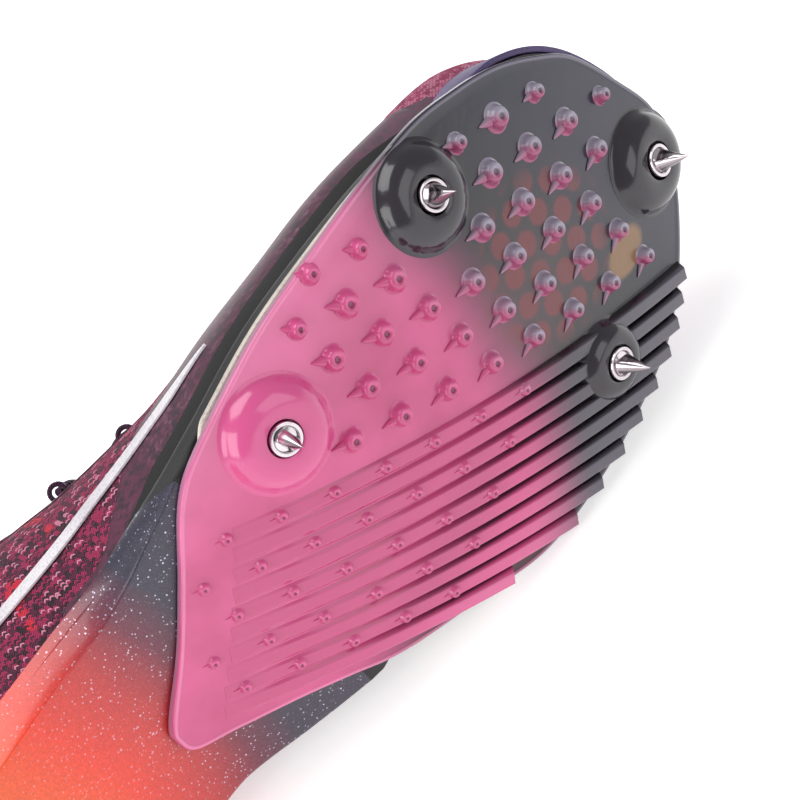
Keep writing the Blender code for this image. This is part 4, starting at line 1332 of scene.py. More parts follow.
@dataclass(frozen=True)
class SteelFinish:
    """Turned bright steel with fine lathe rings, painted reflection bands on its sides and painted shade
    deep in the cup.
    """

    tint: tuple = colour(214, 206, 210)
    shade: tuple = colour(96, 84, 92)
    # Colour of the painted reflection bands.
    painted_reflection: tuple = colour(58, 48, 54)
    roughness: float = 0.09

    def make(self, name: str = "turned_steel") -> bpy.types.Material:
        """Build the material.

        Args:
            name: Name of the material.

        Returns:
            The finished material.
        """
        recipe = Recipe(name)
        across, up, h = recipe.parts(recipe.vector("turn"), 1000.0)
        # Painted reflection: dark bands round the turned sides, set by the angle about the axis.
        side = across / ((across * across + up * up).root() + 0.01)
        painted_reflection = side.ease(0.10, 0.35) * side.ease(0.85, 0.6) + side.ease(-0.45, -0.6) * 0.5
        ring = recipe.noise(recipe.combine(0.0, 0.0, h * 0.001), 0.00016, 2.0)
        smear = recipe.noise(recipe.vector("shoe"), 0.0012, 2.0)
        # Painted shade: darker below the seat, deep in the cup, with faint smears over the whole.
        low = h.ease(0.2, -0.9)
        tint = recipe.mix(low * 0.8 + smear * 0.08, self.tint, self.shade)
        tint = recipe.mix(painted_reflection * h.ease(0.4, 0.9) * 0.85, tint, self.painted_reflection)
        return recipe.finish(Base_Color=tint, Metallic=1.0, Roughness=ring * 0.12 + self.roughness,
                             Normal=recipe.bump(ring, 0.00002, 0.4))


@dataclass(frozen=True)
class CordFinish:
    """Braided cord with pale flecks."""

    dark: tuple = colour(38, 16, 38)
    mid: tuple = colour(74, 26, 62)
    pale: tuple = colour(176, 150, 176)
    pitch: float = 0.0011

    def make(self, name: str = "braided_cord") -> bpy.types.Material:
        """Build the material.

        Args:
            name: Name of the material.

        Returns:
            The finished material.
        """
        recipe = Recipe(name)
        u, v, _ = recipe.parts(recipe.cloth())
        one = ((v / self.pitch + u * 3.0) * math.tau).sine()
        two = ((v / self.pitch - u * 3.0) * math.tau).sine()
        braid = one.high(two)
        fuzz = recipe.noise(recipe.vector("shoe"), 0.0004, 2.0)
        cell = recipe.chance(recipe.combine((v / self.pitch).floor(), (u * 4.0).floor()))
        # Painted shade: darker in the hollows between the braided strands.
        tint = recipe.mix(braid.ease(-0.2, 0.9), self.dark, self.mid)
        tint = recipe.mix(cell.ease(0.88, 0.9) * braid.ease(0.3, 0.9), tint, self.pale)
        return recipe.finish(Base_Color=tint, Roughness=0.8, Sheen_Weight=0.2, Specular_IOR_Level=0.25,
                             Normal=recipe.bump(braid + fuzz * 0.5, 0.0002, 0.8))


class Slot(Enum):
    """Material slots of the record."""

    KNIT = "knit"
    LINING = "lining"
    PLATE = "plate_pink"
    BLACK = "plate_black"
    CLEAR = "unit_clear"
    SHELL = "shell_orange"
    NAVY = "toe_navy"
    STEEL = "steel"
    TAPE = "tape_white"
    CORD = "cord"


class SubAssembly:
    """Shared ways to finish a piece of the shoe."""

    def settle(self, piece: bpy.types.Object, finish: bpy.types.Material, slot: Slot,
               nodes: Sequence[str] = ()) -> None:
        """Lay a finished piece down with the solids, dress it and report it.

        Args:
            piece: Finished piece in the standing shoe.
            finish: Its material.
            slot: Not used.
            nodes: Solids that it stands for.
        """
        Bench.remember(piece, "shoe", Bench.points(piece))
        piece.data.transform(PLACE)
        laid = Bench.points(piece)
        laid[:, 2] = np.maximum(laid[:, 2], 0.0)
        Bench.move(piece, laid)
        piece.data.materials.clear()
        piece.data.materials.append(finish)
        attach(piece, "root")
        if nodes:
            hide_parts(*nodes)
        LOG.info("%s: %d faces", piece.name, len(piece.data.polygons))

    @staticmethod
    def rounded(section: list[np.ndarray], corners: dict[int, float], steps: int = 4) -> list[np.ndarray]:
        """Round some corners of a closed section.

        Args:
            section: Corner places, each an array with one place for each row.
            corners: Radius by corner number.
            steps: Number of steps round each corner.

        Returns:
            The new section.
        """
        made = []
        for k, corner in enumerate(section):
            if k not in corners:
                made.append(corner)
                continue
            before, after = section[k - 1] - corner, section[(k + 1) % len(section)] - corner
            lengths = [np.linalg.norm(v, axis=-1, keepdims=True) for v in (before, after)]
            one, two = (corner + v * np.minimum(corners[k] / np.maximum(n, 1e-9), 0.45)
                        for v, n in zip((before, after), lengths))
            for t in np.linspace(0.0, 1.0, steps + 1):
                made.append((1 - t) ** 2 * one + 2 * t * (1 - t) * corner + t**2 * two)
        return made

    @staticmethod
    def lofted(name: str, section: Sequence[np.ndarray], bend: bool = True, caps: bool = False,
               uv: Optional[np.ndarray] = None) -> bpy.types.Object:
        """Closed body through the rows of a section.

        Args:
            name: Name of the piece.
            section: Places round the section, each an array with one place for each row.
            bend: Whether the places are flat and still have to be bent.
            caps: Whether both ends get a face.
            uv: Optional cloth coordinates.

        Returns:
            The closed piece.
        """
        flat = np.stack(list(section) + [section[0]])
        places = FORM.sole.bend(flat) if bend else flat
        piece = Bench.grid(name, places, uv=uv, flat=flat if bend else None)
        Bench.close(piece, caps)
        return piece

    @staticmethod
    def swept(name: str, path: np.ndarray, radius: Union[float, np.ndarray], sides: int = 12,
              closed: bool = False) -> bpy.types.Object:
        """Round cord along a path, with cloth coordinates around and along it.

        Args:
            name: Name of the piece.
            path: Places along its middle.
            radius: Radius, or one for each place.
            sides: Number of sides.
            closed: Whether the path closes on itself.

        Returns:
            The closed piece.
        """
        if closed:
            path = np.concatenate([path, path[:1]])
        run = unit(np.gradient(path, axis=0))
        if closed:
            run[0] = run[-1] = unit(run[0] + run[-1])
        side = np.empty_like(run)
        guess = np.cross(run[0], (0.0, 0.0, 1.0))
        side[0] = unit(guess if np.linalg.norm(guess) > 0.1 else np.cross(run[0], (0.0, 1.0, 0.0)))
        for k in range(1, len(path)):
            side[k] = unit(side[k - 1] - run[k] * float(side[k - 1] @ run[k]))
        other = np.cross(run, side)
        if closed:
            twist = math.atan2(float(side[-1] @ other[0]), float(side[-1] @ side[0]))
            turn = (np.linspace(0.0, -twist, len(path)))[:, None]
            side, other = (np.cos(turn) * side + np.sin(turn) * other,
                           np.cos(turn) * other - np.sin(turn) * side)
        angles = np.linspace(0.0, math.tau, sides + 1)
        radius = np.broadcast_to(radius, len(path))[:, None]
        places = np.stack([path + radius * (math.cos(a) * side + math.sin(a) * other) for a in angles])
        length = np.concatenate([[0.0], np.cumsum(np.linalg.norm(np.diff(path, axis=0), axis=1))])
        uv = np.stack([np.stack([np.full_like(length, a / math.tau), length], axis=-1) for a in angles])
        piece = Bench.grid(name, places, uv=uv)
        Bench.close(piece, caps=not closed)
        return piece


@dataclass
class KnitUpper(SubAssembly):
    """Knit upper: one wall from the sole's rim to the collar and throat, with a rolled edge."""

    around: int = 280
    up: int = 44
    roll: float = 0.0009
    roll_proud: float = 0.0004

    def build_wall(self) -> None:
        """Build the knit wall."""
        s = np.linspace(0.0, FORM.last.count, self.around + 1)
        foot = FORM.last.point(s, LAYERS.feather)
        base = FORM.sole.bend(np.column_stack([foot, FORM.sole.stack_top(foot[:, 0]) + LAYERS.floor_clear]))
        rings = [base] + [FORM.wall(s, np.full_like(s, t)) for t in np.linspace(0.0, 1.0, self.up)]
        places = np.stack(rings, axis=1)
        middle = places[:, self.up // 3]
        run = np.concatenate([[0.0], np.cumsum(np.linalg.norm(np.diff(middle, axis=0), axis=1))])
        rise = np.cumsum(np.linalg.norm(np.diff(places, axis=1), axis=2), axis=1)
        rise = np.concatenate([np.zeros((len(s), 1)), rise], axis=1)
        uv = np.stack([np.repeat(run[:, None], places.shape[1], axis=1), rise], axis=-1)
        piece = Bench.grid("knit_upper", places, uv=uv)
        Bench.close(piece)
        Bench.face_out(piece, np.array((0.14, 0.0, 0.035)))
        Bench.thicken(piece, LAYERS.upper_wall, -1.0)
        Bench.shade(piece, 60.0)
        self.settle(piece, KnitFinish().make(), Slot.KNIT, ["upper"])

    def build_edge(self) -> None:
        """Build the rolled edge round the collar and throat."""
        s = np.linspace(0.0, FORM.last.count, 361)[:-1]
        row = FORM.row_of(s)
        ankle = 1.0 - smooth(4.6, 6.2, row)
        middle = FORM.over_wall(s, np.full_like(s, 1.0), -LAYERS.upper_wall / 2)
        normal = FORM.wall_normal(s, np.full_like(s, 1.0))
        up = unit(FORM.wall(s, np.full_like(s, 1.0)) - FORM.wall(s, np.full_like(s, 0.97)))
        half = LAYERS.upper_wall / 2 + self.roll_proud + 0.0007 * ankle
        tall = self.roll + 0.0008 * ankle
        angles = np.linspace(0.0, math.tau, 17)[:-1]
        section = [middle + (half * math.cos(a))[:, None] * normal + (tall * math.sin(a))[:, None] * up
                   for a in angles]
        section = [np.concatenate([ring, ring[:1]]) for ring in section]
        piece = self.lofted("collar_edge", section, bend=False)
        Bench.shade(piece, 80.0)
        binding = ClothFinish(colour(58, 20, 42), colour(96, 30, 66), 0.0011).make("edge_binding")
        self.settle(piece, binding, Slot.KNIT)

    def build(self) -> None:
        """Build both pieces."""
        self.build_wall()
        self.build_edge()


@dataclass
class PressedFilms(SubAssembly):
    """Thin films pressed on the knit, low on both sides and along the throat."""

    lift: float = 0.00008
    thickness: float = 0.00022

    def patch(self, name: str, side: int, rows: tuple[float, float],
              band: Callable[[np.ndarray], tuple[np.ndarray, np.ndarray]], steps: int = 26,
              lift: float = 0.0) -> bpy.types.Object:
        """Film between two curves on the wall.

        Args:
            name: Name of the piece.
            side: -1 for the outer side and 1 for the inner side.
            rows: First and last row.
            band: Function from rows to the shares of the wall at which the film starts and ends.
            steps: Number of steps up the wall.
            lift: Extra height over the knit.

        Returns:
            The film in the standing shoe.
        """
        row = np.linspace(rows[0], rows[1], 120)
        s = row if side < 0 else FORM.last.inner(row)
        low, high = band(row)
        places = np.stack([FORM.over_wall(s, low + (high - low) * share, self.lift + lift)
                           for share in np.linspace(0.0, 1.0, steps)], axis=1)
        piece = Bench.grid(name, places)
        Bench.close(piece)
        Bench.face_out(piece, np.array((0.14, 0.0, 0.035)))
        Bench.thicken(piece, self.thickness, 1.0)
        Bench.shade(piece, 60.0)
        return piece

    def build(self) -> None:
        """Build the film round the sole's rim and both throat films."""
        finish = FilmFinish().make()

        def low_band(row: np.ndarray) -> tuple[np.ndarray, np.ndarray]:
            """Film from the rim to half way up, lower at the heel and the toe."""
            top = 0.46 - 0.42 * (1.0 - smooth(5.3, 7.0, row)) - 0.40 * smooth(10.8, 11.5, row)
            return np.zeros_like(row), top

        def throat_band(row: np.ndarray) -> tuple[np.ndarray, np.ndarray]:
            """Narrow film under the throat's edge."""
            end = smooth(5.2, 5.8, row) * smooth(10.9, 10.2, row)
            return 0.93 - 0.20 * end, 0.93 + 0.045 * end

        def sidewall(row: np.ndarray) -> tuple[np.ndarray, np.ndarray]:
            """Black band over the outer rim, thin at both ends."""
            return np.zeros_like(row), 0.01 + 0.10 * smooth(5.7, 6.6, row) * smooth(11.3, 10.2, row)

        band = BLACK_MOULD.make("black_band")
        self.settle(self.patch("side_band", -1, (5.6, 11.2), sidewall, 10, 0.0003), band, Slot.BLACK)
        for side, word in ((-1, "outer"), (1, "inner")):
            self.settle(self.patch("film_" + word, side, (5.0, 11.5), low_band), finish, Slot.KNIT)
            self.settle(self.patch("eyestay_" + word, side, (5.2, 10.9), throat_band, 10), finish, Slot.KNIT)


@dataclass
class SideTape(SubAssembly):
    """Pale tape along the outer wall, tapered at its front."""

    rear: float = 0.245 * SHOE_LENGTH
    front: float = 0.600 * SHOE_LENGTH
    width: float = 0.0040
    thickness: float = 0.0006
    height_rear: float = 0.0465
    height_front: float = 0.0290

    def build(self) -> None:
        """Build the tape."""
        share = np.linspace(0.0, 1.0, 90)
        first, last = FORM.last.row_at(self.rear), FORM.last.row_at(self.front)
        row = first + share * (last - first)
        height = self.height_front + (self.height_rear - self.height_front) * (1.0 - share) ** 0.8
        half = self.width / 2 * np.minimum(1.0, 0.15 + 6 * (1 - share))
        shares = np.linspace(0.0, 1.0, 61)
        walls = np.stack([FORM.wall(row, np.full_like(row, t))[:, 2] for t in shares], axis=1)
        low = np.array([np.interp(z, w, shares) for z, w in zip(height - half, walls)])
        high = np.array([np.interp(z, w, shares) for z, w in zip(height + half, walls)])
        gap = 0.0005
        low_face = FORM.over_wall(row, low, gap)
        high_face = FORM.over_wall(row, high, gap)
        middle = FORM.over_wall(row, (low + high) / 2, gap + self.thickness)
        section = [low_face, high_face, FORM.over_wall(row, high, gap + self.thickness), middle,
                   FORM.over_wall(row, low, gap + self.thickness)]
        section = self.rounded(section, {2: 0.0003, 4: 0.0003}, 3)
        piece = self.lofted("pale_tape", section, bend=False, caps=True)
        Bench.shade(piece, 40.0)
        look = MouldedFinish(colour(232, 228, 232), colour(176, 168, 180), 0.5, 0.1, 0.0006, 0.00006)
        self.settle(piece, look.make("speckled_tape"), Slot.TAPE, ["side_tape"])


@dataclass
class CupSole(SubAssembly):
    """The cupped parts of the sole: shell, forefoot plate, toe bumper and cushion unit."""

    unit_rear: float = 0.512 * SHOE_LENGTH
    unit_front: float = 0.792 * SHOE_LENGTH
    unit_inset: float = -0.0013
    unit_ramp: float = 0.0040
    forefoot_rear: float = 0.498 * SHOE_LENGTH
    end_slant: float = 0.040 * SHOE_LENGTH
    slant_rows: float = 1.5
    crease: float = 0.0050
    across: int = 20

    def ends(self, offset: float) -> tuple[float, float]:
        """Rows of the joint's underside and rim, moved forward by an offset."""
        return (FORM.last.row_at(self.forefoot_rear + offset),
                FORM.last.row_at(self.forefoot_rear - self.end_slant + offset))

    def underside(self, x: np.ndarray) -> np.ndarray:
        """Underside of the forefoot plate, raised over the cushion unit."""
        ramp = np.minimum(x - self.unit_rear, self.unit_front - x) / self.unit_ramp
        return LAYERS.unit_low + (LAYERS.unit_thickness + LAYERS.gap) * np.clip(ramp, 0.0, 1.0)

    def rim_point(self, rows: np.ndarray, side: int, inset: float, rise: np.ndarray) -> np.ndarray:
        """Flat places along the rim at an inset and a rise over the floor.

        Args:
            rows: Rows on the outer side.
            side: -1 for the outer side and 1 for the inner side.
            inset: Inset from the rim.
            rise: Rise over the floor.

        Returns:
            Flat places.
        """
        s = rows if side < 0 else FORM.last.inner(rows)
        plan, edge = FORM.last.point(s, inset), FORM.last.point(s, 0.0)
        return np.column_stack([plan, FORM.sole.stack_top(edge[:, 0]) + rise])

    def cup(self, low_rows: np.ndarray, top_rows: np.ndarray, low: Height, rise: np.ndarray,
            low_inset: np.ndarray, bulge: float = 0.0) -> list[np.ndarray]:
        """Closed section of a cupped sole, rounded at its corners.

        Args:
            low_rows: Rows of the underside.
            top_rows: Rows of the floor and rim.
            low: Height of the underside.
            rise: Rise of the rim over the floor.
            low_inset: Inset of the underside's edge.
            bulge: How far the side swells outward.

        Returns:
            Section of flat places.
        """
        shares = np.linspace(0.0, 1.0, self.across + 1)
        section = [FORM.last.deck(low_rows, k, low_inset, low) for k in shares]
        corners = {0: 0.0006, len(section) - 1: 0.0006}

        def wall_side(start: np.ndarray, end: np.ndarray, side: int) -> list[np.ndarray]:
            """Places up the side, swelled outward.

            Args:
                start: Places at the side's start.
                end: Places at the side's end.
                side: -1 for the outer side and 1 for the inner side.

            Returns:
                Rings of places from the start to the end.
            """
            s = top_rows if side < 0 else FORM.last.inner(top_rows)
            out = np.column_stack([FORM.last.outward(s), np.zeros(len(s))])
            return [start + (end - start) * k + bulge * math.sin(math.pi * k) * out
                    for k in (0.2, 0.4, 0.6, 0.8)]

        inner_rim = self.rim_point(top_rows, 1, 0.0, rise)
        outer_rim = self.rim_point(top_rows, -1, 0.0, rise)
        section += wall_side(section[-1], inner_rim, 1)
        corners[len(section)] = 0.0005
        section.append(inner_rim)
        corners[len(section)] = 0.0005
        section.append(self.rim_point(top_rows, 1, LAYERS.rim_wall, rise))
        section += [FORM.last.deck(top_rows, k, LAYERS.rim_wall, FORM.sole.stack_top) for k in shares[::-1]]
        corners[len(section)] = 0.0005
        section.append(self.rim_point(top_rows, -1, LAYERS.rim_wall, rise))
        corners[len(section)] = 0.0005
        section.append(outer_rim)
        section += wall_side(outer_rim, section[0], -1)
        return self.rounded(section, corners, 3)

    def build_shell(self) -> None:
        """Build the midfoot and heel shell."""
        low_end, top_end = self.ends(-LAYERS.gap / 2)
        rows = np.concatenate([np.linspace(0.0, 1.0, 24, endpoint=False), np.linspace(1.0, low_end, 90)])
        pivot = low_end - self.slant_rows
        top_rows = rows + (top_end - low_end) * np.maximum(0.0, (rows - pivot) / (low_end - pivot))
        inset = self.crease * np.minimum(1.0, (low_end - rows) / self.slant_rows)
        rise = LAYERS.shell_rim_rise + (LAYERS.rim_rise - LAYERS.shell_rim_rise) * (rows / low_end) ** 4
        section = self.cup(rows, top_rows, FORM.sole.shell_bottom, rise, inset, 0.0004)
        piece = self.lofted("heel_shell", section, caps=True)
        Bench.shade(piece, 35.0)
        self.settle(piece, ShellFinish().make(), Slot.SHELL, ["midfoot_shell"])

    def build_forefoot(self) -> None:
        """Build the black forefoot plate."""
        low_end, top_end = self.ends(LAYERS.gap / 2)
        front = LAYERS.bumper_row - 0.06
        rows = np.concatenate([np.linspace(low_end, front, 110),
                               np.linspace(front + 0.02, FORM.last.last, 40)])
        pivot = low_end + self.slant_rows
        top_rows = rows + (top_end - low_end) * np.maximum(0.0, (rows - pivot) / (low_end - pivot))
        section = self.cup(rows, top_rows, self.underside, np.full_like(rows, LAYERS.rim_rise),
                           np.zeros_like(rows))
        toe = rows > front
        inner = FORM.last.inner(rows)
        for k, place in enumerate(section):
            for s in (rows, inner):
                edge = FORM.last.point(s, LAYERS.feather)
                out = FORM.last.outward(s)
                past = np.einsum("ij,ij->i", place[:, :2] - edge, out)
                push = np.where(toe & (past > 0) & (past < 0.003), past, 0.0)
                place[:, :2] -= push[:, None] * out
            top = FORM.sole.stack_top(place[:, 0])
            place[:, 2] = np.where(toe, np.minimum(place[:, 2], top), place[:, 2])
        piece = self.lofted("forefoot_tray", section, caps=True)
        Bench.shade(piece, 35.0)
        self.settle(piece, BLACK_MOULD.make("black_plate"), Slot.BLACK, ["forefoot_plate"])

    def build_bumper(self) -> None:
        """Build the toe bumper."""
        s = np.linspace(LAYERS.bumper_row, FORM.last.count - LAYERS.bumper_row, 120)
        row = FORM.row_of(s)
        rise = LAYERS.rim_rise + (LAYERS.bumper_rise - LAYERS.rim_rise) * smooth(11.2, 11.7, row)
        outer, inner = FORM.last.point(s), FORM.last.point(s, LAYERS.rim_wall)
        high = FORM.sole.stack_top(outer[:, 0]) + rise
        low = np.full_like(high, LAYERS.unit_low)
        section = [np.column_stack([outer, low]), np.column_stack([outer, high]),
                   np.column_stack([inner, high]), np.column_stack([inner, low])]
        section = self.rounded(section, {0: 0.0004, 1: 0.0007, 2: 0.0005, 3: 0.0004}, 3)
        piece = self.lofted("toe_guard", section, caps=True)
        Bench.shade(piece, 40.0)
        look = MouldedFinish(colour(86, 68, 122), colour(60, 46, 84), 0.42, 0.1)
        self.settle(piece, look.make("navy_toe"), Slot.NAVY, ["toe_bumper"])

    def build_unit(self) -> None:
        """Build the clear cushion unit."""
        end = self.unit_ramp * 2.5 * LAYERS.gap / (LAYERS.unit_thickness + LAYERS.gap)
        first, last = FORM.last.row_at(self.unit_rear + end), FORM.last.row_at(self.unit_front - end)
        rows = np.linspace(first, last, 110)
        shares = np.linspace(0.0, 1.0, self.across + 1)
        fade = smooth(first, first + 0.35, rows) * smooth(last, last - 0.35, rows)
        inset = 0.0016 + (self.unit_inset - 0.0016) * fade
        section = [FORM.last.deck(rows, k, inset, LAYERS.unit_low) for k in shares]
        section += [FORM.last.deck(rows, k, inset, lambda x: self.underside(x) - LAYERS.gap)
                    for k in shares[::-1]]
        n = len(section)
        section = self.rounded(section, {0: 0.0004, n // 2 - 1: 0.0004, n // 2: 0.0004, n - 1: 0.0004}, 3)
        piece = self.lofted("clear_unit", section, caps=True)
        Bench.shade(piece, 40.0)
        look = MouldedFinish(colour(226, 214, 200), colour(176, 166, 160), 0.25, 0.5)
        self.settle(piece, look.make("clear_cushion"), Slot.CLEAR, ["cushion_unit"])

    def build(self) -> None:
        """Build the four parts."""
        self.build_shell()
        self.build_forefoot()
        self.build_bumper()
        self.build_unit()


@dataclass
class SpikePlate(SubAssembly):
    """Tinted plate with its rim, ridges, knobs, nubs with spurs, and spike bosses."""

    nub_outer: float = 0.0029
    nub_inner: float = 0.0017
    nub_height: float = 0.0024
    edge_share: float = 0.72
    edge_margin: float = 0.0095
    ridge_count: int = 10
    ridge_height: float = 0.0028
    ridge_base: float = 0.94
    ridge_crest: float = 0.58
    ridge_inset: float = 0.012
    overhang: float = 0.0010
    boss_height: float = 0.0043
    sink: float = 0.0005

    def outline(self, inset: float = 0.0) -> np.ndarray:
        """Plan outline of the plate."""
        return FORM.plate.point(np.linspace(0.0, FORM.plate.count, 241)[:-1], inset)

    @staticmethod
    def crossings(origin: np.ndarray, direction: np.ndarray, polygon: np.ndarray) -> np.ndarray:
        """Distances along a line at which it crosses a polygon.

        Args:
            origin: Start of the line.
            direction: Direction of the line.
            polygon: Closed outline.

        Returns:
            Distances along the line at which it crosses the outline.
        """
        edge = np.roll(polygon, -1, axis=0) - polygon
        gap = polygon - origin
        turn = direction[0] * edge[:, 1] - direction[1] * edge[:, 0]
        turn = np.where(np.abs(turn) < 1e-12, 1e-12, turn)
        t = (gap[:, 0] * edge[:, 1] - gap[:, 1] * edge[:, 0]) / turn
        s = (gap[:, 0] * direction[1] - gap[:, 1] * direction[0]) / turn
        return np.sort(t[(s >= 0) & (s < 1)])

    def inside(self, place: np.ndarray, polygon: np.ndarray) -> bool:
        """Whether a plan place lies inside a polygon."""
        found = self.crossings(place, np.array((1.0, 0.0)), polygon)
        return int((found > 0).sum()) % 2 == 1

    def bend(self, piece: bpy.types.Object) -> bpy.types.Object:
        """Keep a flat piece's places, then bend it onto the sole.

        Args:
            piece: Piece with flat places.

        Returns:
            The same piece on the sole's curve.
        """
        flat = Bench.points(piece)
        Bench.remember(piece, "flat", flat)
        Bench.move(piece, FORM.sole.bend(flat))
        return piece

    def build_deck(self) -> bpy.types.Object:
        """Build the plate's deck with its rounded rim.

        Returns:
            The finished piece.
        """
        rows = np.concatenate([np.linspace(0.0, 1.0, 16, endpoint=False), np.linspace(1.0, 14.0, 170),
                               np.linspace(14.0, 15.0, 17)[1:]])
        rim = ((0.0, 3.8), (0.0, 2.5), (0.08, 2.05), (0.25, 1.78), (0.5, 1.64), (0.8, 1.62), (1.1, 1.72),
               (1.35, 1.80))
        rim = [(inset * 0.001, height * 0.001) for inset, height in rim]
        section = [FORM.plate.deck(rows, 0.0, inset, height) for inset, height in rim]
        section += [FORM.plate.deck(rows, k, rim[-1][0], LAYERS.skin) for k in np.linspace(0, 1, 37)[1:-1]]
        section += [FORM.plate.deck(rows, 1.0, inset, height) for inset, height in rim[::-1]]
        section += [FORM.plate.deck(rows, k, 0.0, LAYERS.outsole_top) for k in np.linspace(1, 0, 19)[1:-1]]
        piece = self.lofted("plate_deck", section)
        Bench.shade(piece, 50.0)
        return piece

    def ridge_span(self, k: int, outline: np.ndarray) -> tuple[np.ndarray, float, float]:
        """Origin, start and end of a ridge.

        Args:
            k: Number of the grid row.
            outline: Outline of the plate.

        Returns:
            Origin of the ridge, and where it starts and ends along its line.
        """
        origin = GRID.place(0.0, k / 2)
        half = self.ridge_base * GRID.pitch / 2
        start = self.crossings(origin, GRID.direction, outline)[0] + self.ridge_inset
        end = min(self.crossings(origin + sign * half * GRID.sideways, GRID.direction, outline)[-1]
                  for sign in (-1, 1)) + self.overhang
        return origin, start, end

    def build_ridges(self) -> bpy.types.Object:
        """Build the tapered ridges, with rounded crests and slanted tips.

        Returns:
            The finished piece.
        """
        outline = self.outline()
        ridges = []
        shape = ((-0.94, -0.18), (-0.94, 0.0), (-0.88, 0.12), (-0.68, 0.86), (-0.60, 0.97), (-0.50, 1.0),
                 (-0.20, 0.985), (0.20, 0.985), (0.50, 1.0), (0.60, 0.97), (0.68, 0.86), (0.88, 0.12),
                 (0.94, 0.0), (0.94, -0.18))
        for k in range(self.ridge_count):
            origin, start, end = self.ridge_span(k, outline)
            share = np.linspace(0.0, 1.0, 64)
            rise = self.ridge_height * np.maximum(share, 0.03)
            section = []
            for across, level in shape:
                along = start + (end - start) * share
                along = along - smooth(0.93, 1.0, share) * 0.0016 * max(level, 0.0)
                plan = origin + along[:, None] * GRID.direction + across * GRID.pitch / 2 * GRID.sideways
                height = LAYERS.skin - (rise * level if level >= 0 else np.full_like(rise, -self.sink))
                section.append(np.column_stack([plan, height]))
            piece = self.lofted("ridge", section, caps=True)
            ridges.append(piece)
        piece = Bench.join(ridges, "plate_ridges")
        Bench.shade(piece, 40.0)
        return piece

    def nub(self) -> bpy.types.Object:
        """Model one nub of radius one and height one, with a foot flare and a dimple.

        Returns:
            Pattern for the nubs.
        """
        profile = ((1.24, -0.2), (1.24, 0.0), (1.12, 0.05), (1.02, 0.14), (0.93, 0.42), (0.82, 0.74),
                   (0.74, 0.90), (0.62, 0.985), (0.50, 1.0), (0.36, 0.98), (0.27, 0.88), (0.20, 0.80),
                   (0.08, 0.77))
        piece = Bench.turned("nub_pattern", profile, 24)
        Bench.remember(piece, "spot", Bench.points(piece))
        return piece

    def spur(self) -> bpy.types.Object:
        """Model one spur: a pointed cone that lies along X, its foot at the nub.

        Returns:
            Pattern for the spurs.
        """
        profile = ((0.50, -0.3), (0.50, 0.25), (0.42, 0.8), (0.30, 1.5), (0.17, 2.1), (0.06, 2.55))
        piece = Bench.turned("spur_pattern", profile, 14)
        Bench.remember(piece, "spot", Bench.points(piece)[:, [1, 0, 2]] * (1.0, 1.0, 0.0))
        piece.data.transform(Matrix.Rotation(math.radians(90), 4, "Y"))
        return piece

    def nub_places(self) -> list[tuple[int, int, np.ndarray, float]]:
        """Grid numbers, plan place and radius of every free nub.

        Returns:
            Plan places of the nubs.
        """
        near_edge = self.outline(self.edge_margin)
        found = []
        for nub_row in NUB_ROWS:
            for i in range(nub_row.first, nub_row.last + 1):
                place = GRID.place(i, nub_row.row)
                if any(np.linalg.norm(place - FORM.spike_place(s)) < s.boss_radius + self.nub_inner
                       for s in SPIKES):
                    continue
                share = min(max(place[1] / BALL_WIDTH + 0.5, 0.0), 1.0)
                radius = self.nub_outer + share * (self.nub_inner - self.nub_outer)
                if not self.inside(place, near_edge):
                    radius *= self.edge_share
                found.append((i, nub_row.row, place, radius))
        return found

    def build_nubs(self) -> bpy.types.Object:
        """Build every nub and its spur from one nub and one spur.

        Returns:
            The finished piece.
        """
        nub, spur = self.nub(), self.spur()
        copies = []
        for i, j, place, radius in self.nub_places():
            made = Bench.copy(nub, "nub")
            # The solids' heights run down from the deck, so the nub is turned over
            size = Matrix.Diagonal((radius, radius, -self.nub_height, 1.0))
            made.data.transform(Matrix.Translation((*place, LAYERS.skin)) @ size)
            made.data.flip_normals()
            copies.append(made)
            if radius < self.nub_outer * 0.6:
                continue
            turn = min(max(0.11 * (i - 4) + 0.17 * (j + 4), 0.0), 1.0)
            angle = math.radians(229.0 - 68.0 * turn)
            made = Bench.copy(spur, "spur")
            length = radius * (0.50 + 0.26 * turn)
            thick = radius * (1.05 - 0.30 * turn)
            size = Matrix.Diagonal((length, thick, thick, 1.0))
            foot = place + radius * 0.55 * np.array((math.cos(angle), math.sin(angle)))
            made.data.transform(Matrix.Translation((*foot, LAYERS.skin - 0.0002))
                                @ Matrix.Rotation(angle, 4, "Z") @ size)
            copies.append(made)
        piece = Bench.join(copies, "plate_nubs")
        Bench.discard(nub)
        Bench.discard(spur)
        Bench.shade(self.bend(piece), 55.0)
        return piece

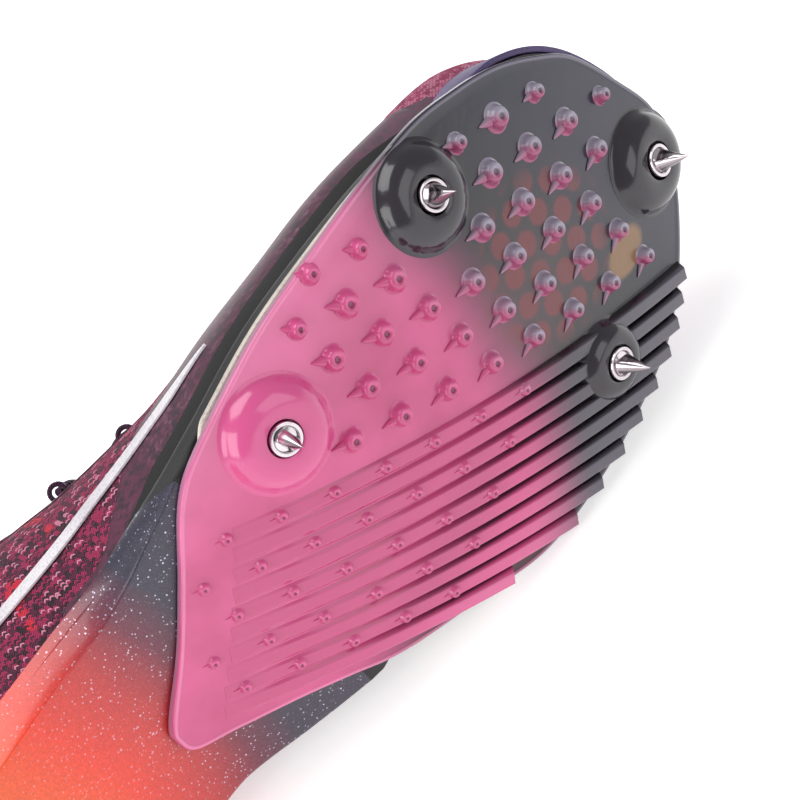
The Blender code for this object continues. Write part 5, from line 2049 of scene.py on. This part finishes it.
    def build_knobs(self) -> bpy.types.Object:
        """Build the small knobs that stand on the ridge crests.

        Returns:
            The finished piece.
        """
        profile = ((1.25, -0.3), (1.2, 0.1), (1.0, 0.35), (0.9, 0.75), (0.72, 0.96), (0.52, 1.0),
                   (0.36, 0.96), (0.24, 0.78), (0.08, 0.7))
        knob = Bench.turned("knob_pattern", profile, 20)
        Bench.remember(knob, "spot", Bench.points(knob))
        spur = self.spur()
        outline = self.outline()
        copies = []
        for knob_row in KNOB_ROWS:
            origin, start, end = self.ridge_span(2 * knob_row.row, outline)
            for i in range(knob_row.first, knob_row.last + 1):
                place = GRID.place(i, knob_row.row)
                reach = float((place - origin) @ GRID.direction)
                crest = self.ridge_height * min(max((reach - start) / (end - start), 0.0), 1.0)
                level = LAYERS.skin - crest * 0.98
                made = Bench.copy(knob, "knob")
                size = Matrix.Diagonal((0.00125, 0.00125, -0.0010, 1.0))
                made.data.transform(Matrix.Translation((*place, level)) @ size)
                made.data.flip_normals()
                copies.append(made)
                angle = math.radians(205.0)
                made = Bench.copy(spur, "tail")
                made.data.transform(Matrix.Translation((*place, level)) @ Matrix.Rotation(angle, 4, "Z")
                                    @ Matrix.Diagonal((0.0011, 0.0009, 0.0009, 1.0)))
                copies.append(made)
        piece = Bench.join(copies, "ridge_knobs")
        Bench.discard(knob)
        Bench.discard(spur)
        Bench.shade(self.bend(piece), 55.0)
        return piece

    def build_bosses(self) -> bpy.types.Object:
        """Build the four bosses: domes with a foot fillet and a socket for the cup.

        Returns:
            The finished piece.
        """
        copies = []
        for spike in SPIKES:
            radius, hole = spike.boss_radius, 0.0040
            shares = np.linspace(0.5, 1.0, 14)
            rise = (1.0 - ((shares - 0.5) / 0.5) ** 2.2) ** 0.625
            dome = [(share * radius, level * self.boss_height) for share, level in zip(shares, rise)]
            foot = [(1.10 * radius, -self.sink), (1.10 * radius, 0.00004), (1.05 * radius, 0.00012),
                    (1.015 * radius, 0.0004)]
            top = [(0.5 * radius, self.boss_height), (hole + 0.0006, self.boss_height),
                   (hole + 0.00015, self.boss_height - 0.00015), (hole, self.boss_height - 0.0006),
                   (hole, self.boss_height - 0.0028), (0.0005, self.boss_height - 0.0028)]
            profile = foot + [p for p in dome[::-1] if p[1] > 0.0007] + top[1:]
            made = Bench.turned("boss", profile, 64)
            plan = FORM.spike_place(spike)
            size = Matrix.Diagonal((1.0, 1.0, -1.0, 1.0))
            made.data.transform(Matrix.Translation((*plan, LAYERS.skin)) @ size)
            made.data.flip_normals()
            copies.append(made)
        piece = Bench.join(copies, "plate_bosses")
        Bench.shade(self.bend(piece), 40.0)
        return piece

    def build(self) -> None:
        """Build the plate's pieces with one finish."""
        look = PlateFinish()
        self.settle(self.build_deck(), look.make(PlatePart.DECK), Slot.PLATE, ["outsole_plate"])
        self.settle(self.build_ridges(), look.make(PlatePart.RIDGE), Slot.PLATE)
        pegs = look.make(PlatePart.PEG)
        self.settle(self.build_knobs(), pegs, Slot.PLATE)
        self.settle(self.build_nubs(), pegs, Slot.PLATE)
        self.settle(self.build_bosses(), look.make(PlatePart.BOSS), Slot.PLATE)


@dataclass
class SteelSpikes(SubAssembly):
    """Screwed steel spikes in their cups."""

    boss_height: float = 0.0043
    cup_radius: float = 0.0038
    cup_depth: float = 0.0026
    cup_proud: float = 0.0005
    spike_radius: float = 0.00262
    flat: float = 0.00165
    flat_slope: float = 0.11
    length: float = 0.0080

    def frame(self, spike: Spike) -> Matrix:
        """Matrix that stands a turned piece on its boss.

        Args:
            spike: Spike to place.

        Returns:
            Matrix from the spike's own frame to the shoe.
        """
        plan = FORM.spike_place(spike)
        out = Vector((-FORM.sole.normal(plan[0], plan[1])).tolist())
        seat = FORM.sole.bend(np.array((*plan, LAYERS.skin - self.boss_height)))
        return Matrix.Translation(seat.tolist()) @ out.to_track_quat("Z", "X").to_matrix().to_4x4()

    def cup(self) -> bpy.types.Object:
        """Model the cup: a can with a rolled lip, a groove and a recess.

        Returns:
            Pattern for the cups.
        """
        r, proud = self.cup_radius, self.cup_proud
        profile = ((0.0006, -self.cup_depth), (r - 0.0003, -self.cup_depth), (r, -self.cup_depth + 0.0003),
                   (r, proud - 0.0004), (r - 0.00012, proud - 0.0001), (r - 0.0004, proud),
                   (r - 0.0008, proud - 0.00008), (r - 0.0010, proud - 0.0004), (r - 0.0010, -0.0014),
                   (0.0006, -0.0014))
        return Bench.turned("cup_pattern", profile, 48)

    def spike(self) -> bpy.types.Object:
        """Model the spike: flange, neck and a cone with two flats.

        Returns:
            Pattern for the spikes.
        """
        r, foot = self.spike_radius, 0.0004
        cone = [(r * (1.0 - share) + 0.00007 * share, foot + (self.length - foot) * share)
                for share in np.linspace(0.0, 1.0, 22)]
        profile = [(0.0005, -0.0011), (r + 0.0001, -0.0011), (r + 0.0001, 0.0)] + cone
        piece = Bench.turned("spike_pattern", profile, 56)
        places = Bench.points(piece)
        flat = self.flat - self.flat_slope * places[:, 2]
        over = places[:, 2] > foot - 0.00005
        places[:, 1] = np.where(over, np.clip(places[:, 1], -flat, flat), places[:, 1])
        Bench.move(piece, places)
        return piece

    def build(self) -> None:
        """Build the four cups and spikes."""
        finish = SteelFinish().make()
        for pattern, word, angle in ((self.cup(), "cup", 35.0), (self.spike(), "spike", 28.0)):
            for spike in SPIKES:
                node = ("spike_cup_" if word == "cup" else "spike_") + spike.name
                made = Bench.copy(pattern, "steel_" + word + "_" + spike.name)
                Bench.remember(made, "turn", Bench.points(made))
                made.data.transform(self.frame(spike))
                Bench.shade(made, angle)
                self.settle(made, finish, Slot.STEEL, [node])
            Bench.discard(pattern)


@dataclass
class Footbed(SubAssembly):
    """Insole on the floor of the sole."""

    def build(self) -> None:
        """Build the insole with a rounded edge."""
        inset = LAYERS.feather + LAYERS.upper_wall + 3 * LAYERS.gap
        rows = np.concatenate([np.linspace(0.0, 1.0, 20, endpoint=False), np.linspace(1.0, 13.0, 90),
                               np.linspace(13.0, 14.0, 20)[1:]])

        def low(x: np.ndarray) -> np.ndarray:
            """Underside of the insole."""
            return FORM.sole.stack_top(x) + LAYERS.floor_clear

        def high(x: np.ndarray) -> np.ndarray:
            """Top of the insole."""
            return low(x) + LAYERS.insole

        shares = np.linspace(0.0, 1.0, 17)
        section = [FORM.last.deck(rows, k, inset, low) for k in shares]
        section += [FORM.last.deck(rows, k, inset, high) for k in shares[::-1]]
        section = self.rounded(section, {len(shares): 0.0012, 2 * len(shares) - 1: 0.0012}, 4)
        piece = self.lofted("footbed", section)
        Bench.shade(piece, 45.0)
        look = ClothFinish(colour(40, 22, 34), colour(78, 40, 62), 0.0012)
        self.settle(piece, look.make("footbed_cloth"), Slot.LINING, ["insole"])


@dataclass
class Tongue(SubAssembly):
    """Padded tongue under the throat, with a tapered tab."""

    thickness: float = 0.0030
    reach: float = 0.30
    crown: float = 0.0035
    tab: float = 0.016
    taper: float = 0.62

    def section(self, rows: np.ndarray, depth: float) -> list[np.ndarray]:
        """Places across the tongue at a depth under the upper's face.

        Args:
            rows: Rows along the tongue.
            depth: Depth of the section under the opening.

        Returns:
            Lines of places, from the outer side to the inner side.
        """
        inner = FORM.last.inner(rows)
        one = np.ones_like(rows)
        shares = np.linspace(1.0 - self.reach, 0.995, 8)
        left = [FORM.over_wall(rows, t * one, -depth) for t in shares]
        right = [FORM.over_wall(inner, t * one, -depth) for t in shares]
        width = np.linalg.norm(right[-1] - left[-1], axis=1)
        rise = self.crown * np.minimum(1.0, width / 0.020)
        middle = []
        for k in np.linspace(0.0, 1.0, 11)[1:-1]:
            arch = np.minimum(1.0, 1.03 * math.sin(math.pi * k) ** 0.55)
            up = np.zeros((len(rows), 3))
            up[:, 2] = rise * arch
            middle.append(left[-1] + (right[-1] - left[-1]) * k + up)
        return left + middle + right[::-1]

    def build(self) -> None:
        """Build the tongue with its tab."""
        rows = np.linspace(10.6, 5.6, 80)
        depth = LAYERS.upper_wall + 2 * LAYERS.gap
        section = self.section(rows, depth) + self.section(rows, depth + self.thickness)[::-1]
        stack = np.stack(section)
        last = stack[:, -1]
        middle = last[:, 1].mean()
        tabs = []
        for share in np.linspace(0.0, 1.0, 14)[1:]:
            size = 1.0 + (self.taper - 1.0) * share
            shape = last.copy()
            shape[:, 1] = middle + size * (shape[:, 1] - middle)
            tabs.append(shape + self.tab * share * np.array((-0.62, 0.0, 0.78)))
        stack = np.concatenate([stack, np.stack(tabs, axis=1)], axis=1)
        piece = self.lofted("tongue_pad", list(stack), bend=False, caps=True)
        Bench.soften(piece, 0.0007, 50.0, 3)
        Bench.shade(piece, 60.0)
        look = ClothFinish(colour(70, 22, 50), colour(120, 34, 78), 0.0013)
        self.settle(piece, look.make("tongue_cloth"), Slot.LINING, ["tongue"])


@dataclass
class Lacing(SubAssembly):
    """Cord eyelet loops and the lace that runs through them."""

    rows: tuple = (9.55, 8.65, 7.75, 6.85, 5.95)
    inset: float = 0.0062
    lace_radius: float = 0.0010
    loop_radius: float = 0.0006
    crown: float = 0.0035
    clear: float = 0.0006

    def along(self, side: int, row: float) -> np.ndarray:
        """Place along the loop for a row of a side."""
        return np.array(row if side < 0 else FORM.last.count - row)

    def eyelet(self, side: int, row: float) -> tuple[np.ndarray, np.ndarray]:
        """Seat of an eyelet on the upper's face, and the face's normal.

        Args:
            side: -1 for the outer side and 1 for the inner side.
            row: Row of the eyelet.

        Returns:
            The seat and the unit normal there.
        """
        near, s = 0.6, self.along(side, row)
        reach = float(np.linalg.norm(FORM.wall(s, 1.0) - FORM.wall(s, near)))
        t = 1.0 - (1.0 - near) * self.inset / reach
        return FORM.wall(s, t), FORM.wall_normal(s, t)

    def build_loops(self) -> None:
        """Build the ten cord loops."""
        loops = []
        radius = (self.lace_radius + self.loop_radius + LAYERS.gap) / math.cos(math.pi / 12)
        dip = math.asin((self.lace_radius - self.loop_radius) / radius) + 0.35
        for row in self.rows:
            for side in (-1, 1):
                seat, normal = self.eyelet(side, row)
                along = unit(FORM.wall(self.along(side, row + 0.1), 1.0)
                             - FORM.wall(self.along(side, row - 0.1), 1.0))
                angles = np.linspace(-dip, math.pi + dip, 22)
                path = np.array([seat + (self.lace_radius + LAYERS.gap + radius * math.sin(a)) * normal
                                 + radius * math.cos(a) * along for a in angles])
                loops.append(self.swept("loop", path, self.loop_radius, 10))
        piece = Bench.join(loops, "eyelet_loops")
        Bench.shade(piece, 80.0)
        names = ["eyelet_loop_%s_%d" % (word, k + 1) for k in range(5) for word in ("outer", "inner")]
        self.settle(piece, CordFinish(pitch=0.0007).make("loop_cord"), Slot.CORD, names)

    def seat(self, side: int, row: float) -> np.ndarray:
        """Place where the lace runs through a loop."""
        place, normal = self.eyelet(side, row)
        return place + (self.lace_radius + LAYERS.gap) * normal

    def edge(self, side: int, row: float) -> np.ndarray:
        """Place where the lace runs over the throat's edge."""
        s = self.along(side, row)
        return FORM.wall(s, 1.0) + (self.lace_radius + 2 * LAYERS.gap) * FORM.wall_normal(s, 1.0)

    def middle(self, row: float, lift: float = 0.0) -> np.ndarray:
        """Place where the lace runs over the middle of the tongue.

        Args:
            row: Row along the throat.
            lift: Extra height over the tongue.

        Returns:
            Place on the middle line.
        """
        centre = (FORM.wall(self.along(-1, row), 1.0) + FORM.wall(self.along(1, row), 1.0)) / 2
        rise = self.crown - LAYERS.upper_wall + self.lace_radius + self.clear + lift
        return centre + np.array((0.0, 0.0, rise))

    def strand(self, side: int) -> list[np.ndarray]:
        """Corner places of one strand, which changes side at each eyelet row.

        Args:
            side: Side on which the strand starts.

        Returns:
            Places that the strand runs through.
        """
        points = []
        lift = 0.0011
        for row, next_row in zip(self.rows, self.rows[1:]):
            step = (next_row - row) / 4
            points += [self.seat(side, row), self.edge(side, row + step),
                       self.middle(row + 2 * step, lift if side < 0 else -lift * 0.2),
                       self.edge(-side, row + 3 * step)]
            side = -side
        return points + [self.seat(side, self.rows[-1])]

    @staticmethod
    def smooth_path(points: Sequence[np.ndarray], steps: int = 10) -> np.ndarray:
        """Smooth curve through corner places.

        Args:
            points: Places to run through.
            steps: Steps between two places.

        Returns:
            Places of the smooth path.
        """
        table = np.array([points[0], *points, points[-1]])
        made = []
        for k in range(1, len(table) - 2):
            p0, p1, p2, p3 = table[k - 1:k + 3]
            for t in np.linspace(0.0, 1.0, steps, endpoint=False):
                made.append(0.5 * (2 * p1 + (p2 - p0) * t + (2 * p0 - 5 * p1 + 4 * p2 - p3) * t**2
                                   + (3 * p1 - p0 - 3 * p2 + p3) * t**3))
        return np.array(made + [table[-2]])

    def build_lace(self) -> None:
        """Build the lace, one cord from top eyelet to top eyelet by way of the first bar."""
        one, two = self.strand(-1), self.strand(1)
        row = self.rows[0]
        bar = [self.edge(-1, row), self.middle(row), self.edge(1, row)]
        points = one[::-1] + bar + two
        piece = self.swept("lace", self.smooth_path(points), self.lace_radius, 12)
        Bench.shade(piece, 80.0)
        self.settle(piece, CordFinish().make(), Slot.CORD, ["lace"])

    def build(self) -> None:
        """Build the loops and the lace."""
        self.build_loops()
        self.build_lace()


@dataclass(frozen=True)
class Softbox:
    """One area light, placed by its direction and distance from the shoe."""

    name: str
    towards: tuple[float, float, float]
    distance: float
    size: float
    power: float


@dataclass
class Studio:
    """Pale floor, softboxes and the camera at the photograph's angle."""

    centre: tuple = (0.0536, -0.4128, -0.5930)
    right: tuple = (0.6384, 0.5639, -0.5240)
    up: tuple = (0.7477, -0.6159, 0.2482)
    back: tuple = (-0.1827, -0.5502, -0.8148)
    lens: float = 157.5
    boxes: tuple = (
        Softbox("top_box", (-0.15, 0.25, 1.0), 1.0, 0.8, 6.5),
        Softbox("heel_box", (-1.0, -0.25, 0.45), 0.9, 0.6, 3.6),
        Softbox("front_box", (0.5, -1.0, 0.45), 1.1, 0.7, 2.2),
    )

    def build_camera(self) -> None:
        """Add the camera."""
        axes = Matrix((self.right, self.up, self.back)).transposed().to_4x4()
        axes.translation = Vector(self.centre)
        held = PLACE @ axes
        turn = held.to_quaternion()
        bpy.ops.object.camera_add(location=held.translation)
        camera = bpy.context.object
        camera.name = "photo_camera"
        camera.rotation_mode = "QUATERNION"
        camera.rotation_quaternion = turn
        camera.data.lens = self.lens
        camera.data.sensor_width = 36.0
        camera.data.clip_start = 0.05
        camera.data.clip_end = 50.0
        bpy.context.scene.camera = camera

    def build_floor(self) -> None:
        """Add the pale floor."""
        Bench.clear()
        bpy.ops.mesh.primitive_plane_add(size=80.0, location=(0, 0, 0))
        floor = bpy.context.object
        floor.name = floor.data.name = "studio_floor"
        recipe = Recipe("pale_floor")
        place = recipe.node("ShaderNodeTexCoord", output="Object")
        grain = recipe.noise(place, 0.02, 2.0)
        floor.data.materials.append(recipe.finish(
            Base_Color=recipe.mix(grain * 0.3, (0.9, 0.9, 0.9, 1.0), (0.86, 0.86, 0.86, 1.0)),
            Roughness=grain * 0.1 + 0.75, Specular_IOR_Level=0.1,
            Emission_Color=(1.0, 1.0, 1.0, 1.0), Emission_Strength=0.55))

    def build_lights(self) -> None:
        """Add the softboxes and the pale surroundings."""
        for box in self.boxes:
            direction = Vector(box.towards).normalized()
            bpy.ops.object.light_add(type="AREA", location=direction * box.distance + Vector((0, 0, 0.04)))
            light = bpy.context.object
            light.name = box.name
            light.rotation_euler = direction.to_track_quat("Z", "Y").to_euler()
            light.data.shape = "SQUARE"
            light.data.size = box.size
            light.data.energy = box.power
        world = bpy.data.worlds.new("pale_surroundings")
        world.use_nodes = True
        world.node_tree.nodes["Background"].inputs["Color"].default_value = (1.0, 1.0, 1.0, 1.0)
        world.node_tree.nodes["Background"].inputs["Strength"].default_value = 0.4
        bpy.context.scene.world = world

    def build(self) -> None:
        """Build the camera, floor and lights."""
        self.build_camera()
        self.build_floor()
        self.build_lights()
        view = bpy.context.scene.view_settings
        view.view_transform = "Standard"
        view.look = "None"


def main() -> None:
    """Build the studio, then the shoe from the sole up."""
    logging.basicConfig(level=logging.INFO, format="%(name)s: %(message)s")
    for part in (Studio(), SpikePlate(), SteelSpikes(), CupSole(), Footbed(), KnitUpper(), PressedFilms(),
                 SideTape(), Tongue(), Lacing()):
        part.build()
        LOG.info("%s is built", type(part).__name__)


if __name__ == "__main__":
    main()
